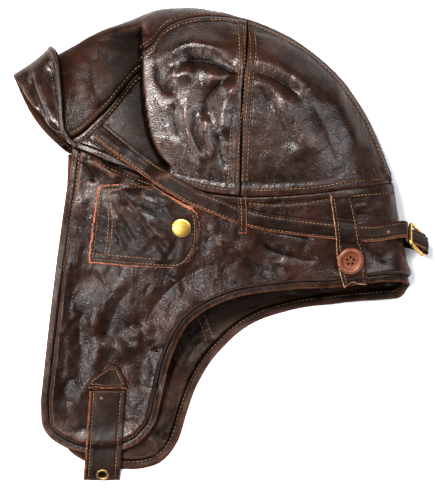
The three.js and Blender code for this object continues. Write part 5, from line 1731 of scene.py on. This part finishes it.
def chin_strap():
    n, m = 90, 36
    length = CHIN["end"] - CHIN["top"]
    y = np.linspace(CHIN["top"], CHIN["end"], n)[:, None] + np.zeros((1, m))
    t = (y - CHIN["top"]) / length
    over = np.linspace(-CHIN["width"] / 2, CHIN["width"] / 2, m)[None, :]
    x = CHIN["top_x"] + (CHIN["end_x"] - CHIN["top_x"]) * t + over
    base = lay("left", x, np.maximum(y, CHIN["turn"] + 1.0), 0.3, 10)
    past = np.clip((CHIN["turn"] - y) / (CHIN["turn"] - CHIN["end"]), 0, 1)
    base[..., 1] = y
    base[..., 2] -= CHIN["drop"] * past ** 3
    d = edge_distance(base)
    edge = np.minimum(d[2], d[3])
    rise = -0.3 * bell(edge, 0.55, 3.4) + 0.25 * ease((edge - 4) / 2)
    piece, outer, normals = dress("strap_for_chin", "chin_strap", "left", base, 2.1,
                                  STRAP_LEATHER, TAN_EDGE, (0, 0, 1, 0), 0.9, 0.15, rise)
    lay_on(piece, "left")
    row_on("left", outer, normals, [(0.02, 0.13), (0.985, 0.13)], 15)
    row_on("left", outer, normals, [(0.02, 0.87), (0.985, 0.87)], 16)
    i = int(round((EYELET_Y - CHIN["top"]) / length * (n - 1)))
    out = normals[i, m // 2]
    first = np.array([1.0, 0, 0])
    first = unit(first - out * (first @ out))
    place = (np.stack([first, np.cross(out, first), out], 1), outer[i, m // 2])
    cut(piece, [lathe("punch", [(3.9, -6), (3.9, 6)], 40, DARK_EDGE, place)])
    eyelet(place)


ANCHOR = dict(
    bottom=[(-101.4, -113), (-94, -112.4), (-86, -113.6), (-78, -112.6), (-70.9, -113.2)],
    top=[(-84.5, -96), (-81.6, -94.6), (-78.8, -95)],
    left=[(-101.4, -113), (-101.6, -108.3), (-84.5, -96)],
    right=[(-70.9, -113.2), (-72, -107), (-78.8, -95)],
)


def anchor():
    base = lay("left", *patch_grid(ANCHOR, 50, 34), stiff=5)
    _, outer, normals = dress("patch_over_strap_root", "chin_anchor", "left", base, 1.9,
                              STRAP_LEATHER, TAN_EDGE, (0, 0, 1, 0), 1.0, 0.4)
    row = [(0.1, 0.12), (0.09, 0.3), (0.25, 0.85), (0.8, 0.85), (0.9, 0.3), (0.9, 0.12)]
    row_on("left", outer, normals, row, 17, 2.6)
    row_on("left", outer, normals, [(0.1, 0.14), (0.9, 0.14)], 18, 2.4)


# All pieces

build_band()
build_panels()
build_sides()
for which in UP:
    for part in (f"front_panel_{which}", "middle_band", f"rear_panel_{which}", f"side_panel_{which}"):
        lay_on(bpy.data.objects[part], which)
for number, (row_side, row_line, is_inner) in enumerate(ROWS.values()):
    sew_near(row_side, row_line, is_inner, 20 + number)
sew_near("right", inside_right(LOOSE_THREAD), True, 90, 6.0)
for which in UP:
    ear_cover(which)
    head_strap(which)
    keeper(which)
    goggle_tab(which)
    snap(which)
    button(which)
buckle()
brim()
chin_strap()
punched_mark("chin_strap_hole", -90.9, -120.5)
punched_mark("head_strap_hole", 133.0, 9.4)
anchor()
for group in list(sewn):
    finish_stitches(group)


# Floor, light and camera

def stage():
    size = 4.0
    mesh = bpy.data.meshes.new("floor")
    corners = [(-size, -size, 0), (size, -size, 0), (size, size, 0), (-size, size, 0)]
    mesh.from_pydata(corners, [], [(0, 1, 2, 3)])
    g = Graph("pale_floor")
    tone = g.mix(g.noise(900, 1.0), (0.93, 0.93, 0.93), (0.95, 0.95, 0.95))
    mesh.materials.append(g.finish(tone, 0.9, None, specular=0.1))
    floor = bpy.data.objects.new("floor", mesh)
    bpy.context.scene.collection.objects.link(floor)


def area_light(name, place, target, size, power, colour=(1, 1, 1)):
    data = bpy.data.lights.new(name, "AREA")
    data.shape = "RECTANGLE"
    data.size, data.size_y = size
    data.energy = power
    data.color = colour
    lamp = bpy.data.objects.new(name, data)
    lamp.location = place
    lamp.rotation_euler = (Vector(target) - Vector(place)).to_track_quat("-Z", "Y").to_euler()
    bpy.context.scene.collection.objects.link(lamp)


def lights():
    middle = (0, 0, 0.04)
    area_light("window", (-0.6, 0.80, 2.6), middle, (0.7, 0.6), 100, (1.0, 0.99, 0.98))
    area_light("fill", (1.0, 0.2, 1.4), middle, (0.6, 0.9), 18, (0.90, 0.95, 1.0))
    area_light("low", (-0.75, -0.95, 1.35), middle, (0.45, 0.4), 17, (0.92, 0.96, 1.0))
    area_light("side", (-1.2, 0.2, 0.55), middle, (0.5, 0.4), 10, (0.94, 0.97, 1.0))
    world = bpy.data.worlds.new("soft_room")
    world.use_nodes = True
    back = world.node_tree.nodes["Background"]
    back.inputs["Color"].default_value = (0.95, 0.97, 1.0, 1)
    back.inputs["Strength"].default_value = 0.10
    bpy.context.scene.world = world


CAMERA_HEIGHT = 6.0
CAMERA_BELOW_MM = 4.68
VIEW_HEIGHT_MM = 390.0
FOCUS_Z = 0.035
SENSOR_MM = 36.0
EXPOSURE = 0.42
GAMMA = 0.70


def camera():
    data = bpy.data.cameras.new("camera")
    data.sensor_fit = "VERTICAL"
    data.sensor_height = SENSOR_MM
    data.lens = SENSOR_MM * (CAMERA_HEIGHT - FOCUS_Z) / (VIEW_HEIGHT_MM * METRE)
    data.clip_end = 20
    eye = bpy.data.objects.new("camera", data)
    eye.location = (FRAME_SHIFT[0] * METRE, (FRAME_SHIFT[1] - CAMERA_BELOW_MM) * METRE, CAMERA_HEIGHT)
    bpy.context.scene.collection.objects.link(eye)
    bpy.context.scene.camera = eye


stage()
lights()
camera()
view = bpy.context.scene.view_settings
view.view_transform = "Standard"
view.exposure = EXPOSURE
view.gamma = GAMMA
